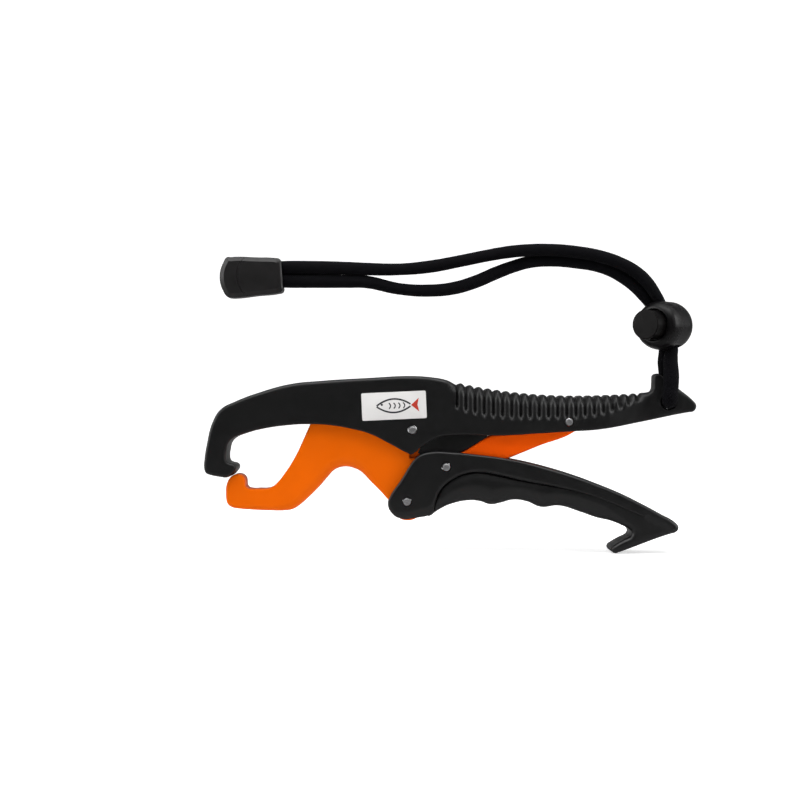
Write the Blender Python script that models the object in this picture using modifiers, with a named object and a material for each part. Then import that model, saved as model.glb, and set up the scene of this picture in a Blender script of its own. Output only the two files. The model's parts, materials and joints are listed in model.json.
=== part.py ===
"""Fishing lip grip: a squeeze-handle grip with an orange lower jaw, a toggle link and a wrist lanyard.

The grip stands upright: +X runs from the jaws to the tail, +Z is up, and Y is the thickness.
Shapes are laid out in millimetres about the jaw pivot, and the whole grip hangs on one empty
whose place puts the origin at the centre of the object's box.
"""

import math

import bmesh
import bpy
from mathutils import Matrix, Vector

MM = 0.001

# Where the jaw pivot lies in the part's frame
JAW_PIVOT_IN_FRAME = (-18.95, 4.24, -15.64)

# Pivots, as (x, z) about the jaw pivot
JAW_PIVOT = (0.0, 0.0)
HANDLE_PIVOT = (-2.7, -35.0)
LINK_FRONT_PIVOT = (16.5, -18.2)
LINK_REAR_PIVOT = (76.3, 3.9)
LANYARD_HOLE = (125.7, 13.6)

# Thicknesses and clearances
BODY_HALF = 11.0
TAIL_HALF = 4.5
CHANNEL_HALF = 8.0
INNER_HALF = 7.4
WEB_HALF = 7.5
JAW_ROOT_HALF = 4.5
EAR_ROOM_HALF = 3.0
EAR_HALF = 1.3
EAR_MIDDLE = 6.1
FINGER_HALF = 10.2
EDGE = 1.2
FINGER_EDGE = 1.8
GAP = 0.3
TAIL_TAPER = ((90.0, 0.0), (96.0, 0.12), (103.0, 0.42), (110.0, 0.75), (116.0, 0.94), (121.0, 1.0))

# Pins
PIN_RADIUS = 1.95
PIN_HALF = 10.9
JAW_REAR_HOLE_PLAY = 0.5

# Finger ribs along the top of the body
RIB_COUNT = 20
RIB_FIRST = 26.0
RIB_PITCH = 4.47
GROOVE_RADIUS = 1.6
GROOVE_LIFT = 0.35

# Label
LABEL_CENTRE = (-9.0, 11.8)
LABEL_SIZE = (31.4, 13.4)
LABEL_TILT = math.radians(2.6)
LABEL_RECESS = 0.5
LABEL_PROUD = 0.15

# Return spring
SPRING_WIRE = 0.6
SPRING_MEAN_RADIUS = 3.0
SPRING_TURNS = 3.5
SPRING_PITCH = 1.5
SPRING_ROOF_LEG = ((11.0, 7.6), (4.0, 4.2))
SPRING_LINK_LEG = (-7.2, -5.6)
FORK_SLOT_HALF = 3.6
FORK_SLOT_LENGTH = 24.0
FORK_SLOT_HEIGHT = 18.0

# Lanyard
CORD_RADIUS = 3.05
PINCHED_CORD = 0.8
CORD_BEND = 3.5
CORD_SIDE = TAIL_HALF + CORD_BEND

# Cord lock: a barrel with a spring plunger, whose axis leans towards the front left
LOCK_CENTRE = (126.1, 0.0, 51.1)
LOCK_RADIUS = 12.0
LOCK_FRONT = 13.8
LOCK_SHOULDER = [(-LOCK_FRONT, 9.0), (-13.2, 10.0), (-11.8, 11.0), (-9.8, 11.7), (-7.2, 12.0), (-3.0, 12.0)]
LOCK_AXIS = Vector((0.65, 0.76, 0.0)).normalized()
LOCK_SIDE = Vector((0.76, -0.65, 0.0)).normalized()
CORD_LINE_TOP = Vector((120.7, 0.0, 61.4))
CORD_LINE_BOTTOM = Vector((125.9, 0.0, 41.7))
CORD_SPACING = 2.7
BUTTON_RADIUS = 7.2
BUTTON_OUT = 21.3
BUTTON_HEAD = 8.7
BUTTON_RIM = 1.0
STEM_RADIUS = 6.4
STEM_END = 4.4
LOCK_MOUTH = 10.3
LOCK_BORE_END = 9.0
BUTTON_TRAVEL = 2.0
PINCH_ROOM = 6.0
PINCH_WIDTH = 11.3
CORD_SLOT_LENGTH = 44.0
LOCK_SPRING_WIRE = 0.35
LOCK_SPRING_RADIUS = 4.4
LOCK_SPRING_TURNS = 2.5

# End cap
CAP_HALF = 6.0
COVER_SEAT = 3.3
COVER_ROUND = 12.4
COVER_ROOM_HALF = 3.0
CORD_POCKET_LENGTH = 30.0
CORD_POCKET_HEIGHT = 13.6


# ---------------------------------------------------------------- scene and materials

def clear_scene():
    for obj in list(bpy.data.objects):
        bpy.data.objects.remove(obj, do_unlink=True)


def new_collection(name):
    collection = bpy.data.collections.new(name)
    bpy.context.scene.collection.children.link(collection)
    return collection


def plastic(name, colour, roughness, metallic=0.0):
    material = bpy.data.materials.new(name)
    material.use_nodes = True
    shader = material.node_tree.nodes["Principled BSDF"]
    shader.inputs["Base Color"].default_value = (*colour, 1.0)
    shader.inputs["Roughness"].default_value = roughness
    shader.inputs["Metallic"].default_value = metallic
    return material


def empty_at(name, place, parent=None):
    """An empty at `place`, in millimetres about its parent."""
    empty = bpy.data.objects.new(name, None)
    empty.location = Vector(place) * MM
    empty.empty_display_size = 0.01
    empty.parent = parent
    PARTS.objects.link(empty)
    return empty


def finish(obj, name, material, pivot):
    """Name a piece, give it its finish and hang it on the empty of its pivot."""
    obj.name = name
    obj.data.name = name
    obj.data.materials.clear()
    obj.data.materials.append(material)
    offset = pivot.location if pivot is not FRAME else Vector()
    obj.data.transform(Matrix.Translation(-offset))
    obj.parent = pivot
    obj.data.shade_smooth()
    obj.data.set_sharp_from_angle(angle=math.radians(35.0))
    return obj


def as_cutter(obj, name):
    """Keep a guide solid that only cuts or joins others."""
    obj.name = name
    for collection in list(obj.users_collection):
        collection.objects.unlink(obj)
    CUTTERS.objects.link(obj)
    obj.parent = FRAME
    obj.hide_render = True
    obj.display_type = "WIRE"
    return obj


def boolean(obj, other, operation="DIFFERENCE"):
    modifier = obj.modifiers.new(other.name, "BOOLEAN")
    modifier.operation = operation
    modifier.solver = "EXACT"
    modifier.object = other
    return modifier


# ---------------------------------------------------------------- solids

def curve_to_mesh(obj, weld=0.01):
    """Turn a curve object into a welded mesh object laid out about the jaw pivot."""
    bpy.context.view_layer.update()
    evaluated = obj.evaluated_get(bpy.context.evaluated_depsgraph_get())
    mesh = bpy.data.meshes.new_from_object(evaluated)
    mesh.transform(obj.matrix_world)
    solid = bpy.data.objects.new(obj.name, mesh)
    PARTS.objects.link(solid)
    shape = bmesh.new()
    shape.from_mesh(mesh)
    bmesh.ops.remove_doubles(shape, verts=shape.verts, dist=weld * MM)
    bmesh.ops.recalc_face_normals(shape, faces=shape.faces)
    shape.to_mesh(mesh)
    shape.free()
    curve = obj.data
    bpy.data.objects.remove(obj, do_unlink=True)
    bpy.data.curves.remove(curve)
    return solid


def outline_solid(name, points, half, edge=EDGE, middle=0.0, resolution=2):
    """Extrude a closed outline of (x, z) or (x, z, "corner") points to a solid with rounded edges."""
    curve = bpy.data.curves.new(name, "CURVE")
    curve.dimensions = "2D"
    curve.fill_mode = "BOTH"
    curve.extrude = (half - edge) * MM
    curve.bevel_depth = edge * MM
    curve.offset = -edge * MM
    curve.bevel_resolution = 1
    curve.resolution_u = resolution
    spline = curve.splines.new("BEZIER")
    spline.bezier_points.add(len(points) - 1)
    spline.use_cyclic_u = True
    for knot, point in zip(spline.bezier_points, points):
        knot.co = (point[0] * MM, point[1] * MM, 0.0)
        kind = "VECTOR" if len(point) == 3 else "AUTO"
        knot.handle_left_type = kind
        knot.handle_right_type = kind
    obj = bpy.data.objects.new(name, curve)
    obj.location = (0.0, middle * MM, 0.0)
    obj.rotation_euler = (math.pi / 2, 0.0, 0.0)
    PARTS.objects.link(obj)
    return curve_to_mesh(obj)


def corners(points):
    return [(x, z, "corner") for x, z in points]


def arc(centre, radius, start, end, steps):
    """Points of an arc about (x, z), with angles in degrees from +X towards +Z."""
    points = []
    for step in range(steps + 1):
        angle = math.radians(start + (end - start) * step / steps)
        points.append((centre[0] + radius * math.cos(angle), centre[1] + radius * math.sin(angle)))
    return points


def turned(name, radius, half, place, axis=Vector((0.0, 1.0, 0.0)), sides=24):
    """A cylinder of half length `half` along `axis`, centred on `place`."""
    mesh = bpy.data.meshes.new(name)
    shape = bmesh.new()
    bmesh.ops.create_cone(
        shape,
        cap_ends=True,
        segments=sides,
        radius1=radius * MM,
        radius2=radius * MM,
        depth=2.0 * half * MM,
    )
    turn = Vector((0.0, 0.0, 1.0)).rotation_difference(axis).to_matrix().to_4x4()
    bmesh.ops.transform(shape, matrix=Matrix.Translation(Vector(place) * MM) @ turn, verts=shape.verts)
    shape.to_mesh(mesh)
    shape.free()
    obj = bpy.data.objects.new(name, mesh)
    PARTS.objects.link(obj)
    return obj


def lathed(name, profile, place, axis, sides=28):
    """A solid turned about `axis`; its profile's points are (along the axis, radius)."""
    mesh = bpy.data.meshes.new(name)
    shape = bmesh.new()
    line = [shape.verts.new((radius * MM, 0.0, along * MM)) for along, radius in profile]
    edges = [shape.edges.new(pair) for pair in zip(line, line[1:])]
    bmesh.ops.spin(
        shape,
        geom=line + edges,
        cent=(0.0, 0.0, 0.0),
        axis=(0.0, 0.0, 1.0),
        angle=2.0 * math.pi,
        steps=sides,
    )
    bmesh.ops.remove_doubles(shape, verts=shape.verts, dist=0.001 * MM)
    bmesh.ops.recalc_face_normals(shape, faces=shape.faces)
    turn = Vector((0.0, 0.0, 1.0)).rotation_difference(axis).to_matrix().to_4x4()
    bmesh.ops.transform(shape, matrix=Matrix.Translation(Vector(place) * MM) @ turn, verts=shape.verts)
    shape.to_mesh(mesh)
    shape.free()
    obj = bpy.data.objects.new(name, mesh)
    PARTS.objects.link(obj)
    return obj


def block(name, size, place, turn=Matrix.Identity(4)):
    """A box of full `size`, turned about its own centre."""
    mesh = bpy.data.meshes.new(name)
    shape = bmesh.new()
    bmesh.ops.create_cube(shape, size=1.0)
    scale = Matrix.Diagonal((*(Vector(size) * MM), 1.0))
    move = Matrix.Translation(Vector(place) * MM)
    bmesh.ops.transform(shape, matrix=move @ turn @ scale, verts=shape.verts)
    shape.to_mesh(mesh)
    shape.free()
    obj = bpy.data.objects.new(name, mesh)
    PARTS.objects.link(obj)
    return obj


def across(name, pivot, radius, half=20.0, sides=24):
    """A cylinder along Y through a pivot."""
    return turned(name, radius, half, (pivot[0], 0.0, pivot[1]), sides=sides)


def narrow_tail(obj):
    """Make the tail thinner: the half thickness falls from BODY_HALF to TAIL_HALF over the taper."""
    shape = bmesh.new()
    shape.from_mesh(obj.data)
    for station, _ in TAIL_TAPER:
        geometry = shape.verts[:] + shape.edges[:] + shape.faces[:]
        place = (station * MM, 0.0, 0.0)
        bmesh.ops.bisect_plane(shape, geom=geometry, dist=1e-7, plane_co=place, plane_no=(1.0, 0.0, 0.0))
    for vert in shape.verts:
        half = BODY_HALF + (TAIL_HALF - BODY_HALF) * taper_at(vert.co.x / MM)
        vert.co.y *= half / BODY_HALF
    shape.to_mesh(obj.data)
    shape.free()


def taper_at(x):
    """Share of the tail's narrowing reached at x."""
    if x <= TAIL_TAPER[0][0]:
        return TAIL_TAPER[0][1]
    for (x0, share0), (x1, share1) in zip(TAIL_TAPER, TAIL_TAPER[1:]):
        if x <= x1:
            return share0 + (share1 - share0) * (x - x0) / (x1 - x0)
    return TAIL_TAPER[-1][1]


def wire(name, points, radius, rings=2, smooth=False, radii=None):
    """A round wire through 3D points, as a straight-sided or a smooth curve."""
    curve = bpy.data.curves.new(name, "CURVE")
    curve.dimensions = "3D"
    curve.bevel_depth = radius * MM
    curve.bevel_resolution = rings
    curve.use_fill_caps = True
    curve.resolution_u = 3
    spline = curve.splines.new("BEZIER" if smooth else "POLY")
    knots = spline.bezier_points if smooth else spline.points
    knots.add(len(points) - 1)
    for index, point in enumerate(points):
        place = Vector(point) * MM
        if smooth:
            knots[index].co = place
            knots[index].handle_left_type = "AUTO"
            knots[index].handle_right_type = "AUTO"
        else:
            knots[index].co = (*place, 1.0)
        if radii:
            knots[index].radius = radii[index]
    obj = bpy.data.objects.new(name, curve)
    PARTS.objects.link(obj)
    return curve_to_mesh(obj, weld=0.001)


# ---------------------------------------------------------------- body

def rib_crest(x):
    """Height of the ribbed back at x."""
    slope = 0.0019 if x < 80.0 else 0.0013
    return 16.8 + slope * (x - 80.0) ** 2


def body_outline():
    nose = [
        (-101.6, -18.0),
        (-100.4, -8.3),
        (-97.2, 4.3),
        (-93.4, 10.1),
        (-86.3, 13.9),
        (-74.0, 18.5),
        (-59.5, 22.4),
        (-45.0, 23.9),
        (-20.5, 25.4),
        (-1.0, 26.3),
        (9.0, 25.7),
        (17.0, 24.2),
        (19.5, 23.0),
    ]
    back = [(x, rib_crest(x)) for x in (23.0, 33.0, 46.0, 60.0, 77.0, 92.0, 104.0)]
    ear = [
        (112.5, 18.1),
        (115.8, 18.5),
        (117.4, 20.2),
        (117.6, 24.4),
        *arc((119.9, 25.6), 2.4, 165.0, 60.0, 3),
    ]
    tail = arc((136.6, 11.5), 2.9, 52.0, -98.0, 5)
    grip_edge = [(111.2, 3.7), (91.0, 0.2), (76.5, -0.8), (62.0, -1.7), (42.5, -2.8), (22.0, -2.5)]
    arch = [(13.4, -3.5), (8.5, -5.6), (4.0, -8.5), (0.9, -11.2)]
    cusp = [(-0.7, -11.9)]
    jaw_cover = [(-3.0, -11.0), (-10.9, -6.8), (-20.7, -1.9), (-30.4, 0.7), (-40.0, 2.3), (-50.0, 2.8)]
    mouth = [(-59.5, 2.4), (-74.0, 0.3), (-83.8, -2.4), (-88.3, -4.7), (-90.1, -7.2), (-90.9, -12.2)]
    tooth = [(-90.4, -15.2), (-87.2, -16.5), (-85.9, -18.4), (-87.5, -21.2), (-90.2, -23.1)]
    chin = [(-93.6, -22.9), (-99.4, -21.7)]
    return nose + back + ear + tail + grip_edge + arch + cusp + jaw_cover + mouth + tooth + chin


def channel_outline():
    """The hollow that is open below and holds the jaw's root, the link and the spring."""
    roof = [(-52.0, 10.0), (-46.0, 15.5), (-30.0, 19.8), (0.0, 21.8), (14.0, 20.4)]
    roof += [(x, rib_crest(x) - 4.2) for x in (24.0, 33.0, 46.0, 60.0, 77.0, 96.0)]
    return corners([(-53.0, -30.0), (-53.0, 4.0)] + roof + [(99.0, 11.5), (100.5, -30.0)])


def build_body():
    body = outline_solid("grip_body", body_outline(), BODY_HALF)
    narrow_tail(body)
    channel = outline_solid("channel_cutter", channel_outline(), CHANNEL_HALF, edge=0.0, resolution=1)
    boolean(body, as_cutter(channel, "channel_cutter"))
    for name, pivot in (("jaw_pin_hole", JAW_PIVOT), ("link_pin_hole", LINK_REAR_PIVOT)):
        boolean(body, as_cutter(across(name, pivot, PIN_RADIUS + GAP), name))
    boolean(body, as_cutter(lanyard_hole_cutter(), "lanyard_hole_cutter"))
    boolean(body, as_cutter(groove_cutter(), "groove_cutter"))
    size = (LABEL_SIZE[0] + 2 * GAP, 2 * LABEL_RECESS, LABEL_SIZE[1] + 2 * GAP)
    recess = block("label_recess", size, (LABEL_CENTRE[0], -BODY_HALF, LABEL_CENTRE[1]), label_turn())
    boolean(body, as_cutter(recess, "label_recess"))
    return finish(body, "grip_body", BLACK_BODY, FRAME)


def lanyard_hole_cutter():
    """A round hole with flared mouths, turned from its profile."""
    profile = [(0.0, 12.0), (8.0, 12.0)]
    profile += [(5.3, TAIL_HALF + 0.5), (4.2, TAIL_HALF - 0.6), (3.7, TAIL_HALF - 2.0)]
    profile += [(radius, -place) for radius, place in reversed(profile)]
    mesh = bpy.data.meshes.new("lanyard_hole")
    mesh.from_pydata([(r * MM, 0.0, z * MM) for r, z in profile], [(i, i + 1) for i in range(9)], [])
    obj = bpy.data.objects.new("lanyard_hole", mesh)
    obj.location = (LANYARD_HOLE[0] * MM, 0.0, LANYARD_HOLE[1] * MM)
    obj.rotation_euler = (math.pi / 2, 0.0, 0.0)
    PARTS.objects.link(obj)
    screw = obj.modifiers.new("turn", "SCREW")
    screw.axis = "Z"
    screw.steps = 24
    screw.render_steps = 24
    screw.use_merge_vertices = True
    screw.merge_threshold = 0.00001
    return obj


def groove_cutter():
    """Rods across the back, one in each groove between two ribs."""
    rods = []
    for rib in range(RIB_COUNT):
        x = RIB_FIRST + rib * RIB_PITCH
        rods.append(across("groove", (x, rib_crest(x) + GROOVE_LIFT), GROOVE_RADIUS, sides=8))
    return joined(rods, "groove_cutter")


def joined(objects, name):
    """One object that holds the meshes of several, which don't touch."""
    shape = bmesh.new()
    for obj in objects:
        shape.from_mesh(obj.data)
    mesh = bpy.data.meshes.new(name)
    shape.to_mesh(mesh)
    shape.free()
    for obj in objects:
        bpy.data.objects.remove(obj, do_unlink=True)
    whole = bpy.data.objects.new(name, mesh)
    PARTS.objects.link(whole)
    return whole


def label_turn():
    return Matrix.Rotation(-LABEL_TILT, 4, "Y")


def build_label():
    back = -BODY_HALF + LABEL_RECESS - GAP
    depth = LABEL_RECESS - GAP + LABEL_PROUD
    place = (LABEL_CENTRE[0], back - depth / 2, LABEL_CENTRE[1])
    label = block("label", (LABEL_SIZE[0], depth, LABEL_SIZE[1]), place, label_turn())
    return finish(label, "label", WHITE_LABEL, FRAME)


# ---------------------------------------------------------------- jaw, handle and link

def jaw_outline():
    inner = [(-47.0, 8.5), (-50.0, 2.7), (-53.4, -4.9), (-57.3, -13.1), (-62.2, -20.9), (-66.8, -26.5)]
    floor = [(-69.8, -28.4), (-73.0, -28.9), (-79.0, -28.9), (-81.2, -28.0), (-81.7, -24.8)]
    tooth = [(-83.0, -22.3), (-86.5, -21.9), (-89.6, -23.9), (-91.2, -28.0)]
    tip = [(-91.3, -33.0), (-90.2, -36.4), (-87.2, -38.0)]
    sole = [(-79.0, -38.9), (-64.0, -39.6), (-58.5, -39.1), (-54.7, -37.0), (-45.4, -27.6)]
    arm = [(-38.5, -19.9), (-32.8, -18.2), (-25.6, -19.8), (-20.4, -24.3), (-12.6, -33.2)]
    foot = arc((HANDLE_PIVOT[0] + 0.4, HANDLE_PIVOT[1] - 0.9), 8.4, 180.0, 355.0, 6)
    back = [(5.4, -26.0), (5.4, -12.0), (6.0, -3.0)]
    root = arc(JAW_PIVOT, 6.2, 0.0, 75.0, 3)
    top = [(-12.0, 9.2), (-28.0, 11.0), (-41.0, 11.2)]
    return inner + floor + tooth + tip + sole + arm + foot + back + root + top


def ear_room_outline():
    """Where the handle's two inner ears pass beside the jaw's root."""
    return corners([(-1.6, -14.0), (-1.6, -9.2), (0.6, -5.4), (4.4, -1.8), (12.0, -1.8), (12.0, -14.0)])


def build_jaw():
    jaw = outline_solid("lower_jaw", jaw_outline(), INNER_HALF)
    for side, name in ((-1.0, "front_ear_room"), (1.0, "rear_ear_room")):
        middle = side * (JAW_ROOT_HALF + EAR_ROOM_HALF)
        room = outline_solid(name, ear_room_outline(), EAR_ROOM_HALF, edge=0.0, middle=middle, resolution=1)
        boolean(jaw, as_cutter(room, name))
    front_hole = across("jaw_front_hole", JAW_PIVOT, PIN_RADIUS + GAP)
    boolean(jaw, as_cutter(front_hole, "jaw_front_hole"))
    rear_hole = across("jaw_rear_hole", HANDLE_PIVOT, PIN_RADIUS + JAW_REAR_HOLE_PLAY)
    boolean(jaw, as_cutter(rear_hole, "jaw_rear_hole"))
    return finish(jaw, "lower_jaw", ORANGE, JAW_HINGE)


def handle_outline():
    front = [(3.0, -12.0), (0.8, -14.0), (-5.5, -24.2), (-11.4, -33.4), (-12.0, -36.0), (-10.6, -40.0)]
    foot = [(-6.1, -43.3), (3.6, -43.1), (8.4, -42.2), (13.4, -38.9)]
    fingers = [(18.2, -36.7), (27.9, -34.7), (33.0, -35.1), (38.5, -36.7), (43.0, -36.0), (49.5, -34.4)]
    fingers += [(56.1, -35.2), (63.0, -37.9), (72.0, -37.3), (82.4, -40.3), (90.5, -43.1), (97.0, -44.5)]
    hook = [(105.0, -48.1), (106.8, -50.1), (105.2, -52.2), (98.4, -55.9), (96.7, -58.1), (98.9, -60.2)]
    heel = [(102.6, -59.0), (110.6, -56.1), (120.3, -52.5), (126.6, -50.5)]
    rear = arc((127.1, -47.7), 2.6, -75.0, 55.0, 3)
    top = [(120.3, -40.6), (110.6, -35.4), (100.8, -30.6), (91.1, -26.7), (81.4, -23.1), (66.8, -18.6)]
    top += [(52.2, -15.1), (42.5, -13.4), (32.8, -12.2), (21.0, -11.0), (9.0, -10.7)]
    return front + foot + fingers + hook + heel + rear + top


def cheek_outline():
    """The raised plate of the handle: all of it but the finger grip, a little inside its edge."""
    front = [(3.2, -12.5), (1.2, -14.2), (-5.0, -24.4), (-11.0, -33.6), (-11.6, -36.0), (-10.2, -39.8)]
    foot = [(-5.8, -42.8), (3.6, -42.6), (8.0, -41.6), (9.4, -38.5)]
    step = [(12.2, -30.4), (17.6, -25.0), (24.0, -21.6), (31.5, -20.4), (42.0, -21.9), (55.0, -24.6)]
    step += [(70.0, -27.2), (88.0, -31.6), (104.0, -38.2), (113.0, -42.0)]
    top = [(116.5, -39.8), (110.4, -36.0), (100.6, -31.2), (90.9, -27.3), (81.2, -23.7), (66.6, -19.2)]
    top += [(52.1, -15.7), (42.5, -14.0), (32.7, -12.8), (21.0, -11.6), (9.2, -11.2)]
    return front + foot + step + top


def handle_slot_outline():
    """Between the cheeks: room for the jaw's foot, the link's hub and the link as it folds down."""
    under_web = [(13.0, -5.0), (13.0, -13.4), (15.5, -13.4), (19.0, -12.3), (24.6, -10.2), (36.0, -2.5)]
    rear = [(84.0, -10.0), (88.0, -22.0), (86.0, -31.5)]
    floor = [(76.0, -32.0), (60.0, -30.8), (48.0, -29.0), (30.0, -27.0), (14.0, -25.5), (9.0, -27.0)]
    foot = [(8.0, -34.0), (7.6, -50.0), (-20.0, -50.0), (-20.0, -5.0)]
    return corners(under_web + rear + floor + foot)


def web_outline():
    """The tongue above the link's hub: it lands on the link and stops the handle."""
    return [
        (14.2, -3.6, "corner"),
        (16.0, 0.5),
        (28.0, 2.0),
        (35.8, -1.0),
        (36.6, -3.0, "corner"),
        (24.8, -9.9, "corner"),
        (19.0, -12.2, "corner"),
        (14.0, -12.7, "corner"),
    ]


def ear_outline():
    """The web's two thin ears, which close the gap behind the jaw's root."""
    return corners([(3.6, -10.6), (6.1, -7.0), (10.9, -4.0), (15.2, -2.9), (15.2, -12.4), (4.6, -12.4)])


def build_handle():
    handle = outline_solid("handle", handle_outline(), FINGER_HALF, edge=FINGER_EDGE)
    cheek = outline_solid("handle_cheek", cheek_outline(), BODY_HALF, edge=0.5)
    boolean(handle, as_cutter(cheek, "handle_cheek"), "UNION")
    slot = outline_solid("handle_slot", handle_slot_outline(), CHANNEL_HALF, edge=0.0, resolution=1)
    boolean(handle, as_cutter(slot, "handle_slot"))
    web = outline_solid("handle_web", web_outline(), WEB_HALF, edge=0.0, resolution=3)
    boolean(handle, as_cutter(web, "handle_web"), "UNION")
    for side, name in ((-1.0, "front_ear"), (1.0, "rear_ear")):
        ear = outline_solid(name, ear_outline(), EAR_HALF, 0.0, side * EAR_MIDDLE, resolution=1)
        boolean(handle, as_cutter(ear, name), "UNION")
    for name, pivot in (("handle_pin_hole", HANDLE_PIVOT), ("link_front_hole", LINK_FRONT_PIVOT)):
        boolean(handle, as_cutter(across(name, pivot, PIN_RADIUS + GAP), name))
    return finish(handle, "handle", BLACK_HANDLE, HANDLE_HINGE)


def link_outline():
    """A strut that widens behind its front hub and is round at both pivots."""
    front = Vector(LINK_FRONT_PIVOT)
    along = (Vector(LINK_REAR_PIVOT) - front).normalized()
    over = Vector((-along.y, along.x))
    lean = math.degrees(math.atan2(along.y, along.x))

    def at(distance, width):
        place = front + along * distance + over * width
        return (place.x, place.y)

    hub = arc(LINK_FRONT_PIVOT, 4.1, lean + 270.0, lean + 90.0, 5)
    top = [at(9.5, 4.1), at(16.0, 5.2), at(23.5, 6.7), at(31.0, 6.5), at(46.0, 6.0)]
    end = arc(LINK_REAR_PIVOT, 5.6, lean + 80.0, lean - 80.0, 5)
    bottom = [at(46.0, -6.0), at(31.0, -6.5), at(23.5, -6.7), at(16.0, -5.2), at(9.5, -4.1)]
    return hub + top + end + bottom


def build_link():
    link = outline_solid("toggle_link", link_outline(), INNER_HALF)
    for name, pivot in (("link_hub_hole", LINK_FRONT_PIVOT), ("link_end_hole", LINK_REAR_PIVOT)):
        boolean(link, as_cutter(across(name, pivot, PIN_RADIUS + GAP), name))
    size = (FORK_SLOT_LENGTH, 2 * FORK_SLOT_HALF, FORK_SLOT_HEIGHT)
    slot = block("fork_slot", size, (LINK_REAR_PIVOT[0] + 4.0, 0.0, 2.0))
    boolean(link, as_cutter(slot, "fork_slot"))
    return finish(link, "toggle_link", ORANGE_LINK, LINK_HINGE)


def build_pin(name, pivot, parent):
    """A steel pin with chamfered ends, turned from its profile."""
    profile = [(0.0, PIN_HALF), (PIN_RADIUS - 0.3, PIN_HALF), (PIN_RADIUS, PIN_HALF - 0.3)]
    profile += [(radius, -place) for radius, place in reversed(profile)]
    mesh = bpy.data.meshes.new(name)
    mesh.from_pydata([(r * MM, 0.0, z * MM) for r, z in profile], [(i, i + 1) for i in range(5)], [])
    pin = bpy.data.objects.new(name, mesh)
    mesh.materials.append(STEEL)
    pin.parent = parent
    offset = parent.location / MM if parent is not FRAME else Vector()
    pin.location = Vector((pivot[0] - offset.x, -offset.y, pivot[1] - offset.z)) * MM
    pin.rotation_euler = (math.pi / 2, 0.0, 0.0)
    PARTS.objects.link(pin)
    screw = pin.modifiers.new("turn", "SCREW")
    screw.steps = 24
    screw.render_steps = 24
    screw.use_merge_vertices = True
    screw.merge_threshold = 0.00001
    return pin


def build_return_spring():
    """A torsion spring round the rear pin: one leg under the body's roof, one along the link."""
    centre = Vector((LINK_REAR_PIVOT[0], 0.0, LINK_REAR_PIVOT[1]))
    width = SPRING_TURNS * SPRING_PITCH
    steps = int(SPRING_TURNS * 16)
    points = [centre + Vector((x, -width / 2, z)) for x, z in SPRING_ROOF_LEG]
    for step in range(steps + 1):
        share = step / steps
        angle = math.pi / 2 + share * SPRING_TURNS * 2.0 * math.pi
        x = SPRING_MEAN_RADIUS * math.cos(angle)
        z = SPRING_MEAN_RADIUS * math.sin(angle)
        points.append(centre + Vector((x, (share - 0.5) * width, z)))
    points.append(centre + Vector((SPRING_LINK_LEG[0], width / 2, SPRING_LINK_LEG[1])))
    spring = wire("return_spring", points, SPRING_WIRE, rings=1)
    return finish(spring, "return_spring", SPRING_STEEL, FRAME)


# ---------------------------------------------------------------- lanyard

def cord_line_at(z):
    """Centre line of the two strands where they pass through the cord lock."""
    share = (CORD_LINE_TOP.z - z) / (CORD_LINE_TOP.z - CORD_LINE_BOTTOM.z)
    return CORD_LINE_TOP.lerp(CORD_LINE_BOTTOM, share)


def lock_points(side):
    """Knots of one strand inside the lock; `side` is +1 for the front strand, -1 for the rear one."""
    return [cord_line_at(z) + LOCK_SIDE * side * CORD_SPACING for z in (62.2, 55.0, 47.0, 39.6)]


def tail_points(side):
    """From below the lock to the middle of the lanyard hole; `side` is -1 at the front face."""
    x, z = LANYARD_HOLE
    points = [Vector((x + 0.5, side * CORD_SIDE, z + 12.0)), Vector((x, side * CORD_SIDE, z + 7.0))]
    for step in range(5):
        angle = math.radians(90.0 * step / 4)
        points.append(Vector((
            x,
            side * (TAIL_HALF + CORD_BEND * math.cos(angle)),
            z + CORD_BEND * (1.0 - math.sin(angle)),
        )))
    return points


def cord_path():
    upper = [
        (-85.0, -0.2, 79.9),
        (-62.8, -0.2, 79.9),
        (-31.0, -0.2, 79.8),
        (-8.0, -0.4, 79.3),
        (8.7, -0.5, 80.4),
        (23.5, -0.6, 83.0),
        (40.0, -0.8, 86.0),
        (55.0, -1.1, 87.9),
        (68.0, -1.2, 88.4),
        (82.7, -1.2, 87.0),
        (94.5, -1.2, 84.4),
        (104.5, -1.2, 80.4),
        (113.0, -1.4, 74.6),
        (118.6, -1.6, 67.6),
    ]
    lower = [
        (115.0, 1.6, 64.6),
        (108.6, 1.4, 71.4),
        (101.0, 1.2, 76.0),
        (92.4, 1.2, 79.4),
        (81.7, 1.2, 81.2),
        (68.0, 1.2, 82.4),
        (54.5, 1.1, 81.8),
        (41.5, 0.8, 77.6),
        (28.5, 0.6, 71.9),
        (18.6, 0.5, 68.9),
        (8.7, 0.5, 68.1),
        (-6.1, 0.4, 69.4),
        (-19.0, 0.2, 72.3),
        (-33.0, 0.2, 73.3),
        (-62.8, 0.2, 73.3),
        (-85.0, 0.2, 73.3),
    ]
    pinch = [PINCHED_CORD] * 4
    front = [Vector((LANYARD_HOLE[0] + 1.9, -5.4, 33.5))] + tail_points(-1.0)
    rear = list(reversed([Vector((LANYARD_HOLE[0] - 2.3, 5.4, 33.5))] + tail_points(1.0)))[1:]
    knots = upper + lock_points(1.0) + front + [Vector((LANYARD_HOLE[0], 0.0, LANYARD_HOLE[1]))]
    radii = [1.0] * len(upper) + pinch + [1.0] * (len(front) + 1)
    knots += rear + list(reversed(lock_points(-1.0))) + lower
    radii += [1.0] * len(rear) + pinch + [1.0] * len(lower)
    return knots, radii


def build_cord():
    knots, radii = cord_path()
    cord = wire("wrist_cord", knots, CORD_RADIUS, smooth=True, radii=radii)
    return finish(cord, "wrist_cord", CORD_BLACK, LANYARD_HINGE)


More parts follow.
